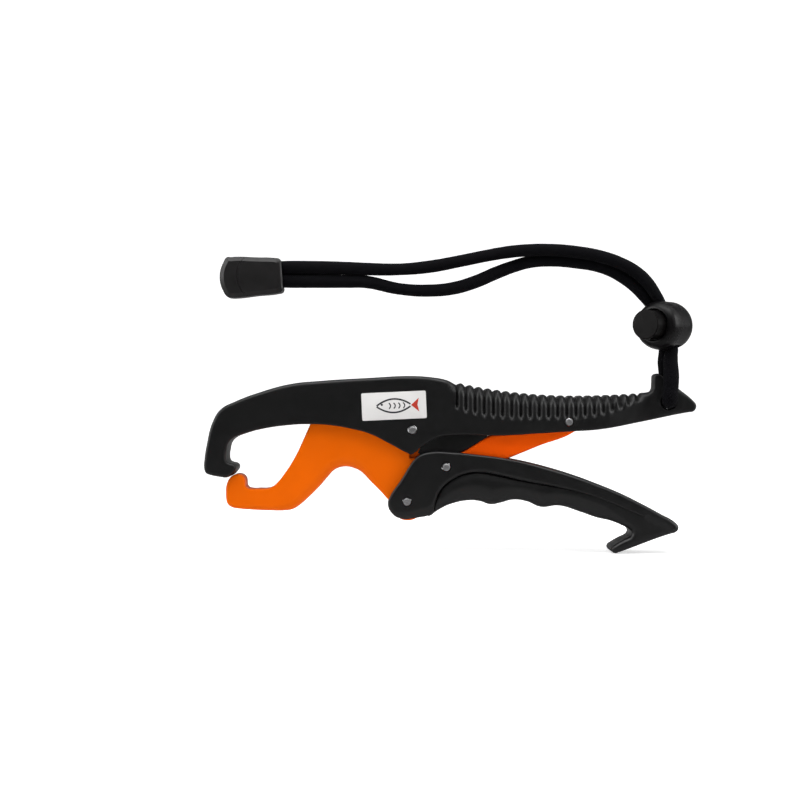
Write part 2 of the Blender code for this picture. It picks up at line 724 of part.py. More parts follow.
def cap_outline():
    """Round at the left; its long sides converge a little towards the cord."""
    left = arc((-80.0, 75.0), 14.6, 222.0, 138.0, 6)
    right = [(-65.6, 84.1), (-64.4, 83.0), (-63.3, 68.4), (-64.4, 67.3)]
    return left + corners([(-89.0, 84.7)] + right + [(-88.4, 64.7)])


def cover_room_outline(radius):
    """Everything behind a round front edge of the given radius."""
    front = arc((-73.5, 75.7), radius, 226.0, 134.0, 6)
    return front + corners([(-82.0, 95.0), (-50.0, 95.0), (-50.0, 55.0), (-82.0, 55.0)])


def build_end_cap():
    """A tray that takes the two cord ends, and the cover that closes it at the front."""
    cap = outline_solid("end_cap", cap_outline(), CAP_HALF)
    middle = -COVER_SEAT - COVER_ROOM_HALF
    room = outline_solid("cover_room", cover_room_outline(COVER_ROUND + GAP), COVER_ROOM_HALF, 0.0, middle)
    boolean(cap, as_cutter(room, "cover_room"))
    size = (CORD_POCKET_LENGTH, 2 * (CORD_RADIUS + GAP), CORD_POCKET_HEIGHT)
    pocket = block("cord_pocket", size, (-70.0, 0.0, 76.6))
    boolean(cap, as_cutter(pocket, "cord_pocket"))
    finish(cap, "end_cap", CAP_BLACK, LANYARD_HINGE)
    cover = outline_solid("end_cap_cover", cap_outline(), CAP_HALF)
    middle -= GAP
    keep = outline_solid("cover_shape", cover_room_outline(COVER_ROUND), COVER_ROOM_HALF, 0.0, middle)
    boolean(cover, as_cutter(keep, "cover_shape"), "INTERSECT")
    return finish(cover, "end_cap_cover", CAP_BLACK, LANYARD_HINGE)


def lock_place(along):
    """A point on the plunger's axis, `along` millimetres behind the barrel's round back."""
    return Vector(LOCK_CENTRE) + LOCK_AXIS * along


def build_cord_lock():
    """A barrel with a round back; the plunger's mouth opens at its flat front."""
    round_back = arc((0.0, 0.0), LOCK_RADIUS, 90.0, 0.0, 8)
    profile = [(-LOCK_FRONT, 0.0)] + LOCK_SHOULDER + round_back[:-1] + [(LOCK_RADIUS, 0.0)]
    barrel = lathed("cord_lock_body", profile, LOCK_CENTRE, LOCK_AXIS)
    mouth_place = lock_place(-LOCK_MOUTH - LOCK_FRONT)
    mouth = turned("lock_mouth", BUTTON_RADIUS + 2 * GAP, LOCK_FRONT, mouth_place, LOCK_AXIS, 30)
    boolean(barrel, as_cutter(mouth, "lock_mouth"))
    bore_half = (LOCK_BORE_END + LOCK_FRONT) / 2
    bore_place = lock_place(LOCK_BORE_END - bore_half)
    bore = turned("lock_bore", STEM_RADIUS + GAP, bore_half, bore_place, LOCK_AXIS, 32)
    boolean(barrel, as_cutter(bore, "lock_bore"))
    boolean(barrel, as_cutter(cord_slot("lock_cord_slot", PINCH_ROOM, PINCH_WIDTH, 0.0), "lock_cord_slot"))
    finish(barrel, "cord_lock_body", LOCK_BLACK, LOCK_PIVOT)


def cord_slot(name, along, side, shift):
    """An oblong slot along the strands, `along` the plunger axis and `side` across it."""
    line = (CORD_LINE_TOP - CORD_LINE_BOTTOM).normalized()
    across_line = line.cross(LOCK_AXIS).normalized()
    frame = Matrix((LOCK_AXIS, across_line, line)).transposed().to_4x4()
    middle = cord_line_at(LOCK_CENTRE[2]) + LOCK_AXIS * shift
    return block(name, (along, side, CORD_SLOT_LENGTH), middle, frame)


def build_cord_lock_button():
    head_place = lock_place(-BUTTON_OUT + BUTTON_HEAD / 2)
    head = turned("cord_lock_button", BUTTON_RADIUS, BUTTON_HEAD / 2, head_place, LOCK_AXIS, 32)
    bevel = head.modifiers.new("rim", "BEVEL")
    bevel.width = BUTTON_RIM * MM
    bevel.segments = 2
    bevel.limit_method = "ANGLE"
    stem_half = (STEM_END + BUTTON_OUT - BUTTON_HEAD / 2) / 2
    stem = turned("button_stem", STEM_RADIUS, stem_half, lock_place(STEM_END - stem_half), LOCK_AXIS, 32)
    boolean(head, as_cutter(stem, "button_stem"), "UNION")
    shift = -BUTTON_TRAVEL / 2
    slot = cord_slot("button_cord_slot", PINCH_ROOM + BUTTON_TRAVEL, PINCH_WIDTH, shift)
    boolean(head, as_cutter(slot, "button_cord_slot"))
    finish(head, "cord_lock_button", BUTTON_BLACK, BUTTON_PIVOT)


def build_cord_lock_spring():
    """A short compression spring between the end of the stem and the floor of the bore."""
    points = []
    low = STEM_END + GAP + LOCK_SPRING_WIRE
    high = LOCK_BORE_END - GAP - LOCK_SPRING_WIRE
    steps = int(LOCK_SPRING_TURNS * 16)
    up = Vector((0.0, 0.0, 1.0))
    for step in range(steps + 1):
        share = step / steps
        angle = share * LOCK_SPRING_TURNS * 2.0 * math.pi
        across_axis = LOCK_SIDE * math.cos(angle) + up * math.sin(angle)
        points.append(lock_place(low + share * (high - low)) + across_axis * LOCK_SPRING_RADIUS)
    spring = wire("cord_lock_spring", points, LOCK_SPRING_WIRE, rings=1)
    finish(spring, "cord_lock_spring", SPRING_STEEL, LOCK_PIVOT)


# ---------------------------------------------------------------- the grip

clear_scene()
PARTS = new_collection("lip_grip")
CUTTERS = new_collection("cutters")

BLACK_BODY = plastic("black_body_plastic", (0.012, 0.012, 0.013), 0.42)
BLACK_HANDLE = plastic("black_handle_plastic", (0.013, 0.013, 0.014), 0.40)
ORANGE = plastic("orange_jaw_plastic", (0.80, 0.17, 0.004), 0.38)
ORANGE_LINK = plastic("orange_link_plastic", (0.72, 0.15, 0.004), 0.42)
STEEL = plastic("steel_pin", (0.45, 0.46, 0.47), 0.32, 1.0)
SPRING_STEEL = plastic("spring_wire", (0.36, 0.36, 0.38), 0.30, 1.0)
WHITE_LABEL = plastic("white_label", (0.85, 0.84, 0.83), 0.45)
CORD_BLACK = plastic("black_cord", (0.008, 0.008, 0.011), 0.85)
CAP_BLACK = plastic("black_cap_plastic", (0.028, 0.026, 0.027), 0.50)
LOCK_BLACK = plastic("black_lock_plastic", (0.022, 0.021, 0.023), 0.40)
BUTTON_BLACK = plastic("black_button_plastic", (0.020, 0.019, 0.020), 0.45)

FRAME = empty_at("jaw_pivot_frame", JAW_PIVOT_IN_FRAME)
JAW_HINGE = empty_at("jaw_axis", (0.0, 0.0, 0.0), FRAME)
LINK_HINGE = empty_at("link_axis", (LINK_REAR_PIVOT[0], 0.0, LINK_REAR_PIVOT[1]), FRAME)
HANDLE_HINGE = empty_at("handle_axis", (LINK_FRONT_PIVOT[0], 0.0, LINK_FRONT_PIVOT[1]), FRAME)
LANYARD_HINGE = empty_at("lanyard_axis", (LANYARD_HOLE[0], 0.0, LANYARD_HOLE[1]), FRAME)
LOCK_PIVOT = empty_at("cord_lock_axis", LOCK_CENTRE, FRAME)
BUTTON_PIVOT = empty_at("cord_lock_button_axis", LOCK_CENTRE, FRAME)

build_body()
build_label()
build_jaw()
build_handle()
build_link()
build_pin("jaw_pin", JAW_PIVOT, FRAME)
build_pin("link_rear_pin", LINK_REAR_PIVOT, FRAME)
build_pin("handle_pin", HANDLE_PIVOT, HANDLE_HINGE)
build_pin("link_front_pin", LINK_FRONT_PIVOT, HANDLE_HINGE)
build_return_spring()
build_cord()
build_end_cap()
build_cord_lock()
build_cord_lock_button()
build_cord_lock_spring()
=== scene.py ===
"""Looks for the fishing lip grip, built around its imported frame.

Every outline is in millimetres about the jaw pivot, X towards the tail and Z up. The mouldings are relief
plates: a fine triangulated outline whose thickness falls off towards its edge, with its own edge radius
along every stretch, mirrored about the grip's middle plane.
"""

import json
import math

import bmesh
import bpy
import numpy as np
from mathutils import Matrix, Vector
from mathutils.geometry import delaunay_2d_cdt


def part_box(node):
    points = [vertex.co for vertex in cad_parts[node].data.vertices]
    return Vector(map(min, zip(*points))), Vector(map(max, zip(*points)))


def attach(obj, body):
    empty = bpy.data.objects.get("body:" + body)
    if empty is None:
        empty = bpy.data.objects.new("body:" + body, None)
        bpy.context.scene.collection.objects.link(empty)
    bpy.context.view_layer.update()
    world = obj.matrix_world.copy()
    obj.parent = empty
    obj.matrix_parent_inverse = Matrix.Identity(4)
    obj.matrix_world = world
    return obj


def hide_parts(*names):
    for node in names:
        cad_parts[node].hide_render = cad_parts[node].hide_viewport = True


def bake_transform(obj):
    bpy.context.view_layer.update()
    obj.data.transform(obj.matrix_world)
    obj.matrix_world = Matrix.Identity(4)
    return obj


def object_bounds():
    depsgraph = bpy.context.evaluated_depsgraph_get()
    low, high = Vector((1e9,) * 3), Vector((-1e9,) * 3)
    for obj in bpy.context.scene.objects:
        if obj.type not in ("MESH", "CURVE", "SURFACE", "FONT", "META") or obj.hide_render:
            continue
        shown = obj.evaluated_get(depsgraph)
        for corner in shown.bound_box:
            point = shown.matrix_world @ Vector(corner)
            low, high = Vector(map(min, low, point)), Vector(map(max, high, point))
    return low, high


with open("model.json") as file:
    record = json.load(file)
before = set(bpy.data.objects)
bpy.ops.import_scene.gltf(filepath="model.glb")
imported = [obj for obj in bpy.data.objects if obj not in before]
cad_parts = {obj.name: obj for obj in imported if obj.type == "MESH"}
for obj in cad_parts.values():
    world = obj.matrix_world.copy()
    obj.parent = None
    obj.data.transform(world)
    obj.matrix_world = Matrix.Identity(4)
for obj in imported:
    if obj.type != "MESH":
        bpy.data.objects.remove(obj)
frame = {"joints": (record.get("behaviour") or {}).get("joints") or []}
CAD_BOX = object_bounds()
JOINTS = {joint["name"]: joint for joint in frame["joints"]}
MM = 0.001
JAW_PIVOT = Vector(JOINTS["jaw_pivot"]["pos_m"])

# Half thicknesses across the grip, and the pins.
BODY_HALF = 11.0
TAIL_HALF = 4.5
CHANNEL_HALF = 8.0
INNER_HALF = 7.4
WEB_HALF = 7.5
JAW_ROOT_HALF = 4.5
EAR_ROOM_HALF = 3.0
EAR_HALF = 1.3
EAR_MIDDLE = 6.1
PIN_HOLE = 2.25
PIN_RADIUS = 1.95
PIN_HALF = 10.9

# The ribs over the back, from the front one at x = RIB_FIRST.
RIB_COUNT = 20
RIB_FIRST = 26.0
RIB_PITCH = 4.47
RIB_DEPTH = 1.5
RIB_SIDE_DEPTH = 1.6

# The boss round the lanyard hole: its height, and where it starts and ends to fall off.
BOSS_HEIGHT = 0.4
BOSS_REACH = (6.0, 9.4)

# Where round an edge the surface has its rings of vertices, in degrees from the outline.
RING_ANGLES = (22.5, 45.0, 67.5, 90.0)
# A smooth knot's Bezier handles, as the distance to its neighbour over this.
HANDLE_RATIO = 2.5614
ACROSS = (0, 1, 0)


# ---------------------------------------------------------------- places

def in_frame(point):
    """A point in millimetres about the jaw pivot, as a place in the frame."""
    return JAW_PIVOT + Vector(point) * MM


def pivot_of(node):
    """(x, z) of a CAD node's middle, in millimetres about the jaw pivot."""
    low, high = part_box(node)
    middle = ((low + high) / 2 - JAW_PIVOT) / MM
    return (middle.x, middle.z)


HANDLE_PIVOT = pivot_of("handle_pin")
LINK_FRONT_PIVOT = pivot_of("link_front_pin")
LINK_REAR_PIVOT = pivot_of("link_rear_pin")
LANYARD_HOLE = tuple(((Vector(JOINTS["lanyard_swing"]["pos_m"]) - JAW_PIVOT) / MM).xz)
LOCK_AXIS = Vector(JOINTS["lock_button_press"]["axis"]).normalized()


# ---------------------------------------------------------------- outlines

def arc(centre, radius, start, end, steps):
    """Points of an arc about (x, z), with angles in degrees from +X towards +Z."""
    points = []
    for step in range(steps + 1):
        angle = math.radians(start + (end - start) * step / steps)
        points.append((centre[0] + radius * math.cos(angle), centre[1] + radius * math.sin(angle)))
    return points


def numbers(rows):
    """Tuples of numbers from text such as "1.5 -2, 3 4"; anything else stays as it is."""
    return [tuple(map(float, row.split())) for row in rows.split(",")] if isinstance(rows, str) else rows


def edge(radius, points):
    """Knots of one stretch of an outline, with its edge radius."""
    return [(x, z, radius) for x, z in numbers(points)]


def outline(*rows):
    """Knots of an outline, from rows of an edge radius and its points."""
    return [knot for row in rows for knot in edge(*row)]


def corners(points, radius=0.4):
    return [(x, z, radius, "corner") for x, z in numbers(points)]


def sampled(knots, spacing):
    """Closely spaced points (x, z, edge radius) of the closed Bezier curve through the knots."""
    place = np.array([knot[:2] for knot in knots], float)
    radius = [knot[2] for knot in knots]
    before = np.roll(place, 1, axis=0)
    after = np.roll(place, -1, axis=0)
    length_in = np.linalg.norm(place - before, axis=1)[:, None]
    length_out = np.linalg.norm(after - place, axis=1)[:, None]
    lean = (after - place) / length_out + (place - before) / length_in
    lean /= np.linalg.norm(lean, axis=1)[:, None] * HANDLE_RATIO
    handle_in = place - lean * length_in
    handle_out = place + lean * length_out
    sharp = np.array([len(knot) > 3 for knot in knots])
    handle_in[sharp] = (place + (before - place) / 3)[sharp]
    handle_out[sharp] = (place + (after - place) / 3)[sharp]
    rows = []
    for i in range(len(knots)):
        j = (i + 1) % len(knots)
        count = max(1, math.ceil(length_out[i, 0] / spacing))
        for step in range(count):
            t = step / count
            point = place[i] * (1 - t) ** 3 + place[j] * t ** 3
            point = point + handle_out[i] * 3 * t * (1 - t) ** 2 + handle_in[j] * 3 * t * t * (1 - t)
            rows.append((point[0], point[1], radius[i] * (1 - t) + radius[j] * t))
    rows = np.array(rows)
    nxt = np.roll(rows, -1, axis=0)
    area = np.sum(rows[:, 0] * nxt[:, 1] - nxt[:, 0] * rows[:, 1])
    return rows if area > 0 else rows[::-1].copy()


def in_chunks(points, job, size=3000):
    return np.concatenate([job(points[i:i + size]) for i in range(0, len(points), size)])


def nearest(chunk, start, step, span):
    """For each point and line segment: the gap from its start, the share along it and the distance."""
    gap = chunk[:, None, :] - start[None]
    t = np.clip(np.sum(gap * step[None], axis=2) / span[None], 0.0, 1.0)
    return gap, t, np.linalg.norm(gap - t[..., None] * step[None], axis=2)


def edge_fields(points, loop, profile):
    """For each point: how far the edge lowers it, its distance over the edge radius, and its distance."""
    start = loop[:, :2]
    step = np.roll(start, -1, axis=0) - start
    span = np.sum(step ** 2, axis=1)
    radius = loop[:, 2]
    radius_step = np.roll(radius, -1) - radius

    def job(chunk):
        _, t, distance = nearest(chunk, start, step, span)
        r = radius[None] + t * radius_step[None]
        lowered = profile(np.minimum(distance / r, 1.0)) * r
        return np.stack([lowered.max(axis=1), (distance / r).min(axis=1), distance.min(axis=1)], axis=1)

    return in_chunks(points, job)


def inside(points, loop):
    """Which points lie inside the loop."""
    a = loop[:, :2]
    b = np.roll(a, -1, axis=0)

    def job(chunk):
        x = chunk[:, None, 0]
        z = chunk[:, None, 1]
        crosses = (a[None, :, 1] > z) != (b[None, :, 1] > z)
        rise = np.where(np.abs(b[:, 1] - a[:, 1]) < 1e-12, 1e-12, b[:, 1] - a[:, 1])
        at = a[None, :, 0] + (z - a[None, :, 1]) * ((b[:, 0] - a[:, 0]) / rise)[None]
        return (np.sum(crosses & (x < at), axis=1) % 2 == 1)

    return in_chunks(points, job)


def line_fields(points, line):
    """Signed distance to an open line, positive on its right-hand side, and the share along it."""
    line = np.array(line, float)
    start = line[:-1]
    step = line[1:] - start
    span = np.sum(step ** 2, axis=1)
    length = np.sqrt(span)
    along_start = np.concatenate([[0.0], np.cumsum(length)[:-1]])

    def job(chunk):
        gap, t, distance = nearest(chunk, start, step, span)
        near = np.argmin(distance, axis=1)
        pick = np.arange(len(chunk))
        side = step[near, 1] * gap[pick, near, 0] - step[near, 0] * gap[pick, near, 1]
        share = (along_start[near] + t[pick, near] * length[near]) / length.sum()
        return np.stack([np.where(side > 0, 1.0, -1.0) * distance[pick, near], share], axis=1)

    return in_chunks(points, job)


def rows_along(line, offsets, spacing):
    """Points beside an open line, at each offset to its right."""
    line = np.array(line, float)
    length = np.linalg.norm(np.diff(line, axis=0), axis=1)
    along = np.concatenate([[0.0], np.cumsum(length)])
    stations = np.linspace(0.0, along[-1], max(2, int(along[-1] / spacing)))
    place = np.stack([np.interp(stations, along, line[:, axis]) for axis in (0, 1)], axis=1)
    lean = np.gradient(place, axis=0)
    lean /= np.linalg.norm(lean, axis=1)[:, None]
    right = np.stack([lean[:, 1], -lean[:, 0]], axis=1)
    return np.concatenate([place + right * offset for offset in offsets])


def rounded_profile(share):
    """Quarter-round edge: how far it lies below the face, as a share of its radius."""
    return 1.0 - np.sqrt(np.maximum(0.0, 1.0 - (1.0 - share) ** 2))


def chamfer_profile(share):
    """Flat chamfer with a slightly softened shoulder."""
    return 0.75 * np.maximum(0.0, 1.0 - share) ** 1.08


# ---------------------------------------------------------------- meshes

def smooth_step(value, low, high):
    t = np.clip((value - low) / (high - low), 0.0, 1.0)
    return t * t * (3 - 2 * t)


def new_object(name, mesh):
    obj = bpy.data.objects.new(name, mesh)
    bpy.context.scene.collection.objects.link(obj)
    return obj


def from_faces(name, verts, faces):
    mesh = bpy.data.meshes.new(name)
    mesh.from_pydata(verts, [], faces)
    return new_object(name, mesh)


def from_bmesh(name, shape, matrix):
    bmesh.ops.transform(shape, matrix=matrix, verts=shape.verts)
    mesh = bpy.data.meshes.new(name)
    shape.to_mesh(mesh)
    shape.free()
    return new_object(name, mesh)


def aimed(place, axis):
    """Turns +Z onto the axis and moves the origin to a place in millimetres."""
    turn = Vector((0.0, 0.0, 1.0)).rotation_difference(Vector(axis)).to_matrix().to_4x4()
    return Matrix.Translation(in_frame(place)) @ turn


def relief(name, knots, half, spacing=0.8, fill=1.6, extra=(), profile=rounded_profile, shape=None):
    """A plate in the XZ plane, from its outline's knots.

    `half` is its half thickness, or gives it at (x, z); `extra` holds more points where
    the surface needs them; `shape(points, height, fields)` returns the half thickness once the edges are
    rounded.
    """
    loop = sampled(knots, spacing)
    lean = np.roll(loop[:, :2], -1, axis=0) - np.roll(loop[:, :2], 1, axis=0)
    lean /= np.linalg.norm(lean, axis=1)[:, None]
    inward = np.stack([-lean[:, 1], lean[:, 0]], axis=1)
    shares = [1.0 - math.cos(math.radians(angle)) for angle in RING_ANGLES]
    rings = np.concatenate([loop[:, :2] + inward * (loop[:, 2] * share)[:, None] for share in shares])
    wanted = np.repeat(shares, len(loop))
    low = loop[:, :2].min(axis=0)
    high = loop[:, :2].max(axis=0)
    columns = np.arange(low[0], high[0], fill)
    rows = np.arange(low[1], high[1], fill * 0.87)
    grid = np.array([(x + (k % 2) * fill / 2, z) for k, z in enumerate(rows) for x in columns])
    fields = edge_fields(rings, loop, profile)
    kept = [rings[(fields[:, 1] > 0.93 * wanted) & inside(rings, loop)]]
    fields = edge_fields(grid, loop, profile)
    taken = (fields[:, 1] > 1.0) & (fields[:, 2] > 0.4 * fill) & inside(grid, loop)
    for points in extra:
        points = np.array(points)
        near = edge_fields(points, loop, profile)
        kept.append(points[(near[:, 2] > 0.12) & inside(points, loop)])
        spread = np.array([points.min(axis=0) - 0.3, points.max(axis=0) + 0.3])
        if len(points) > 3000:
            taken &= ~np.all((grid > spread[0]) & (grid < spread[1]), axis=1) | ~covered(grid, points, 0.7)
    kept.append(grid[taken])
    flat = np.concatenate([loop[:, :2]] + kept)
    count = len(loop)
    edges = [(i, (i + 1) % count) for i in range(count)]
    result = delaunay_2d_cdt([Vector(p) for p in flat], edges, [], 0, 1e-5)
    place = np.array([tuple(v) for v in result[0]])
    origin = [ids[0] if ids else -1 for ids in result[3]]
    triangles = np.array([face for face in result[2]])
    middle = place[triangles].mean(axis=1)
    triangles = triangles[inside(middle, loop)]
    fields = edge_fields(place, loop, profile)
    height = (half(place) if callable(half) else half) - fields[:, 0]
    if shape is not None:
        height = shape(place, height, fields)
    on_edge = {index: number for number, index in enumerate(origin) if 0 <= index < count}
    ring = [on_edge[i] for i in range(count)]
    total = len(place)
    verts = [(x, -h, z) for (x, z), h in zip(place, height)]
    verts += [(x, h, z) for (x, z), h in zip(place, height)]
    faces = [tuple(t) for t in triangles]
    faces += [(t[2] + total, t[1] + total, t[0] + total) for t in triangles]
    faces += [(a, a + total, b + total, b) for a, b in zip(ring, ring[1:] + ring[:1])]
    plate = from_faces(name, [tuple(in_frame(v)) for v in verts], faces)
    loose = bmesh.new()
    loose.from_mesh(plate.data)
    bmesh.ops.delete(loose, geom=[v for v in loose.verts if not v.link_faces], context="VERTS")
    loose.to_mesh(plate.data)
    loose.free()
    return plate


def covered(grid, points, reach):
    """Which grid points have one of the points within reach, tested on a coarse raster."""
    cell = 1.0 / reach
    taken = set(map(tuple, np.floor(points * cell).astype(int)))
    near = []
    for x, z in np.floor(grid * cell).astype(int):
        near.append(any((x + i, z + k) in taken for i in (-1, 0, 1) for k in (-1, 0, 1)))
    return np.array(near)


def slab(name, first, second):
    """A solid between two rings of as many points, in millimetres."""
    count = len(first)
    faces = [tuple(range(count)), tuple(reversed(range(count, 2 * count)))]
    faces += [(i, i + count, (i + 1) % count + count, (i + 1) % count) for i in range(count)]
    return from_faces(name, [tuple(in_frame(point)) for point in first + second], faces)


def prism(name, knots, half, middle=0.0, spacing=2.0):
    """A straight-sided plate, for cutting."""
    loop = sampled(knots, spacing)
    return slab(name, *[[(x, y, z) for x, z, _ in loop] for y in (middle - half, middle + half)])


def rod(name, place, axis, radius, half, sides=48):
    """A cylinder centred on `place`, in millimetres."""
    shape = bmesh.new()
    bmesh.ops.create_cone(
        shape, cap_ends=True, segments=sides, radius1=radius * MM, radius2=radius * MM, depth=2 * half * MM
    )
    return from_bmesh(name, shape, aimed(place, axis))


def block(name, size, place, turn=Matrix.Identity(4)):
    shape = bmesh.new()
    bmesh.ops.create_cube(shape, size=1.0)
    scale = Matrix.Diagonal((*(Vector(size) * MM), 1.0))
    return from_bmesh(name, shape, Matrix.Translation(in_frame(place)) @ turn @ scale)


def turned(name, profile, place, axis, sides=48):
    """A lathe shape from (radius, distance along the axis) pairs that start and end on the axis."""
    verts = []
    faces = []
    ends = (0, len(profile) - 1)
    rings = []
    for index, (radius, along) in enumerate(profile):
        count = 1 if index in ends else sides
        rings.append(range(len(verts), len(verts) + count))
        for side in range(count):
            angle = 2 * math.pi * side / sides
            verts.append((radius * math.cos(angle), radius * math.sin(angle), along))
    for first, second in zip(rings, rings[1:]):
        for side in range(sides):
            quad = [
                first[side % len(first)],
                first[(side + 1) % len(first)],
                second[(side + 1) % len(second)],
                second[side % len(second)],
            ]
            faces.append(tuple(dict.fromkeys(quad)))
    shape = from_faces(name, [Vector(v) * MM for v in verts], faces)
    shape.data.transform(aimed(place, axis))
    shape.data.shade_smooth()
    shape.data.set_sharp_from_angle(angle=math.radians(50.0))
    return shape


def settled(obj):
    """Turn the object's modifiers into its mesh."""
    bpy.context.view_layer.update()
    evaluated = obj.evaluated_get(bpy.context.evaluated_depsgraph_get())
    mesh = bpy.data.meshes.new_from_object(evaluated)
    obj.modifiers.clear()
    obj.data = mesh


def carve(obj, other, operation="DIFFERENCE"):
    """Cut or join another object into obj at once, and drop the other."""
    modifier = obj.modifiers.new("carve", "BOOLEAN")
    modifier.operation = operation
    modifier.solver = "EXACT"
    modifier.object = other
    settled(obj)
    bpy.data.objects.remove(other, do_unlink=True)


def drill(obj, pivots, radius=PIN_HOLE):
    """Cut a pin's hole across the grip at each (x, z)."""
    for x, z in pivots:
        carve(obj, rod("pin_hole", (x, 0.0, z), ACROSS, radius, 20.0))


def softened(obj, voxel, rounds):
    """Remesh a cut solid and smooth it, which rounds every edge a little."""
    remesh = obj.modifiers.new("remesh", "REMESH")
    remesh.mode = "VOXEL"
    remesh.voxel_size = voxel * MM
    remesh.use_smooth_shade = True
    smooth = obj.modifiers.new("smooth", "SMOOTH")
    smooth.factor = 0.5
    smooth.iterations = rounds
    settled(obj)


def piece(obj, material, body, nodes, sharp=38.0):
    """Shade a piece, give it its material and hang it on its body in place of its CAD nodes."""
    obj.data.materials.clear()
    obj.data.materials.append(material)
    obj.data.shade_smooth()
    if sharp:
        obj.data.set_sharp_from_angle(angle=math.radians(sharp))
    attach(obj, body)
    if nodes:
        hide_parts(*nodes)
    return obj


def bridging(obj, material, bodies, node, start, end):
    """Give a piece its material, smooth its shading and bake its place, in place of a CAD node."""
    obj.data.materials.append(material)
    obj.data.shade_smooth()
    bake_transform(obj)
    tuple(start)
    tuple(end)
    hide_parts(node)


# ---------------------------------------------------------------- materials

class Nodes:
    """The node tree of a material or a world, with short ways to add and join nodes."""

    def __init__(self, owner):
        owner.use_nodes = True
        self.owner = owner
        self.tree = owner.node_tree

    def add(self, kind, **values):
        """A new node, with its inputs set by name."""
        node = self.tree.nodes.new("ShaderNode" + kind)
        for name, value in values.items():
            node.inputs[name.replace("_", " ")].default_value = value
        return node

    def join(self, source, target):
        self.tree.links.new(source, target)

    def noise(self, scale, detail, roughness=0.5):
        """Noise on object coordinates."""
        node = self.add("TexNoise", Scale=scale, Detail=detail, Roughness=roughness)
        self.join(self.add("TexCoord").outputs["Object"], node.inputs["Vector"])
        return node.outputs["Fac"]

    def ramp(self, source, low, high, at=(0.35, 0.65)):
        """A colour between two colours."""
        node = self.add("ValToRGB")
        for element, position, colour in zip(node.color_ramp.elements, at, (low, high)):
            element.position = position
            element.color = (*colour, 1.0)
        self.join(source, node.inputs["Fac"])
        return node.outputs["Color"]

    def spread(self, source, low, high, at=(0.0, 1.0)):
        """A value between low and high, as the source goes from one end of `at` to the other."""
        node = self.add("MapRange", From_Min=at[0], From_Max=at[1], To_Min=low, To_Max=high)
        self.join(source, node.inputs["Value"])
        return node.outputs["Result"]

    def math(self, operation, *sources):
        """The result of a math node on outputs and numbers."""
        node = self.add("Math")
        node.operation = operation
        for slot, source in zip(node.inputs, sources):
            if isinstance(source, float):
                slot.default_value = source
            else:
                self.join(source, slot)
        return node.outputs[0]

    def axes(self, source):
        node = self.add("SeparateXYZ")
        self.join(source, node.inputs["Vector"])
        return node.outputs

    def bump(self, shader, source, depth, before=None, strength=1.0):
        """Add a bump of the given depth in metres, on top of an earlier one."""
        node = self.add("Bump", Strength=strength, Distance=depth)
        self.join(source, node.inputs["Height"])
        if before:
            self.join(before.outputs["Normal"], node.inputs["Normal"])
        self.join(node.outputs["Normal"], shader.inputs["Normal"])
        return node


def shader_of(name, **values):
    """A new material's nodes and its shader, with inputs set by name."""
    nodes = Nodes(bpy.data.materials.new(name))
    shader = nodes.tree.nodes["Principled BSDF"]
    for key, value in values.items():
        shader.inputs[key.replace("_", " ")].default_value = value
    return nodes, shader


def scaled(colour, share):
    return tuple(c * share for c in colour)


def moulded(name, colour, rough, grain=0.000012, edge_highlight=1.5, specular=0.5, mottle=0.12):
    """Injection-moulded plastic: a fine spark-eroded grain, faint flow marks, and a painted highlight that
    lightens its sharp convex edges.
    """
    nodes, shader = shader_of(name, Specular_IOR_Level=specular)
    flow = nodes.noise(28.0, 3.0)
    fine = nodes.noise(2600.0, 2.0, 0.6)
    scuff = nodes.noise(160.0, 6.0, 0.7)
    high = tuple(min(1.0, c) for c in scaled(colour, 1.0 + mottle))
    # Painted highlight: sharply convex edges get a lighter colour, standing in for the light that they
    # catch.
    pointiness = nodes.add("NewGeometry").outputs["Pointiness"]
    mix = nodes.add("Mix")
    mix.data_type = "RGBA"
    nodes.join(nodes.spread(pointiness, 0.0, 1.0, at=(0.53, 0.62)), mix.inputs["Factor"])
    nodes.join(nodes.ramp(flow, scaled(colour, 1.0 - mottle), high), mix.inputs["A"])
    mix.inputs["B"].default_value = (*[min(1.0, c * edge_highlight + 0.004) for c in colour], 1.0)
    nodes.join(mix.outputs["Result"], shader.inputs["Base Color"])
    nodes.join(nodes.spread(scuff, rough - 0.07, rough + 0.09, at=(0.3, 0.7)), shader.inputs["Roughness"])
    nodes.bump(shader, scuff, grain * 2.0, nodes.bump(shader, fine, grain), 0.6)
    return nodes.owner


def turned_steel(name, colour, rough):
    """Stainless pin or wire: fine turning marks and small stains."""
    nodes, shader = shader_of(name, Metallic=1.0)
    stain = nodes.noise(900.0, 4.0, 0.6)
    nodes.join(nodes.ramp(stain, scaled(colour, 0.72), colour, at=(0.3, 0.6)), shader.inputs["Base Color"])
    nodes.join(nodes.spread(stain, rough + 0.12, rough - 0.05), shader.inputs["Roughness"])
    nodes.bump(shader, nodes.noise(5200.0, 2.0, 0.7), 0.00002)
    return nodes.owner


def printed_vinyl(name, colour):
    """Sticker film with a faint tooth."""
    nodes, shader = shader_of(name)
    cloud = nodes.noise(90.0, 3.0)
    nodes.join(nodes.ramp(cloud, scaled(colour, 0.965), colour), shader.inputs["Base Color"])
    nodes.join(nodes.spread(cloud, 0.37, 0.50), shader.inputs["Roughness"])
    nodes.bump(shader, nodes.noise(3000.0, 2.0), 0.000006)
    return nodes.owner


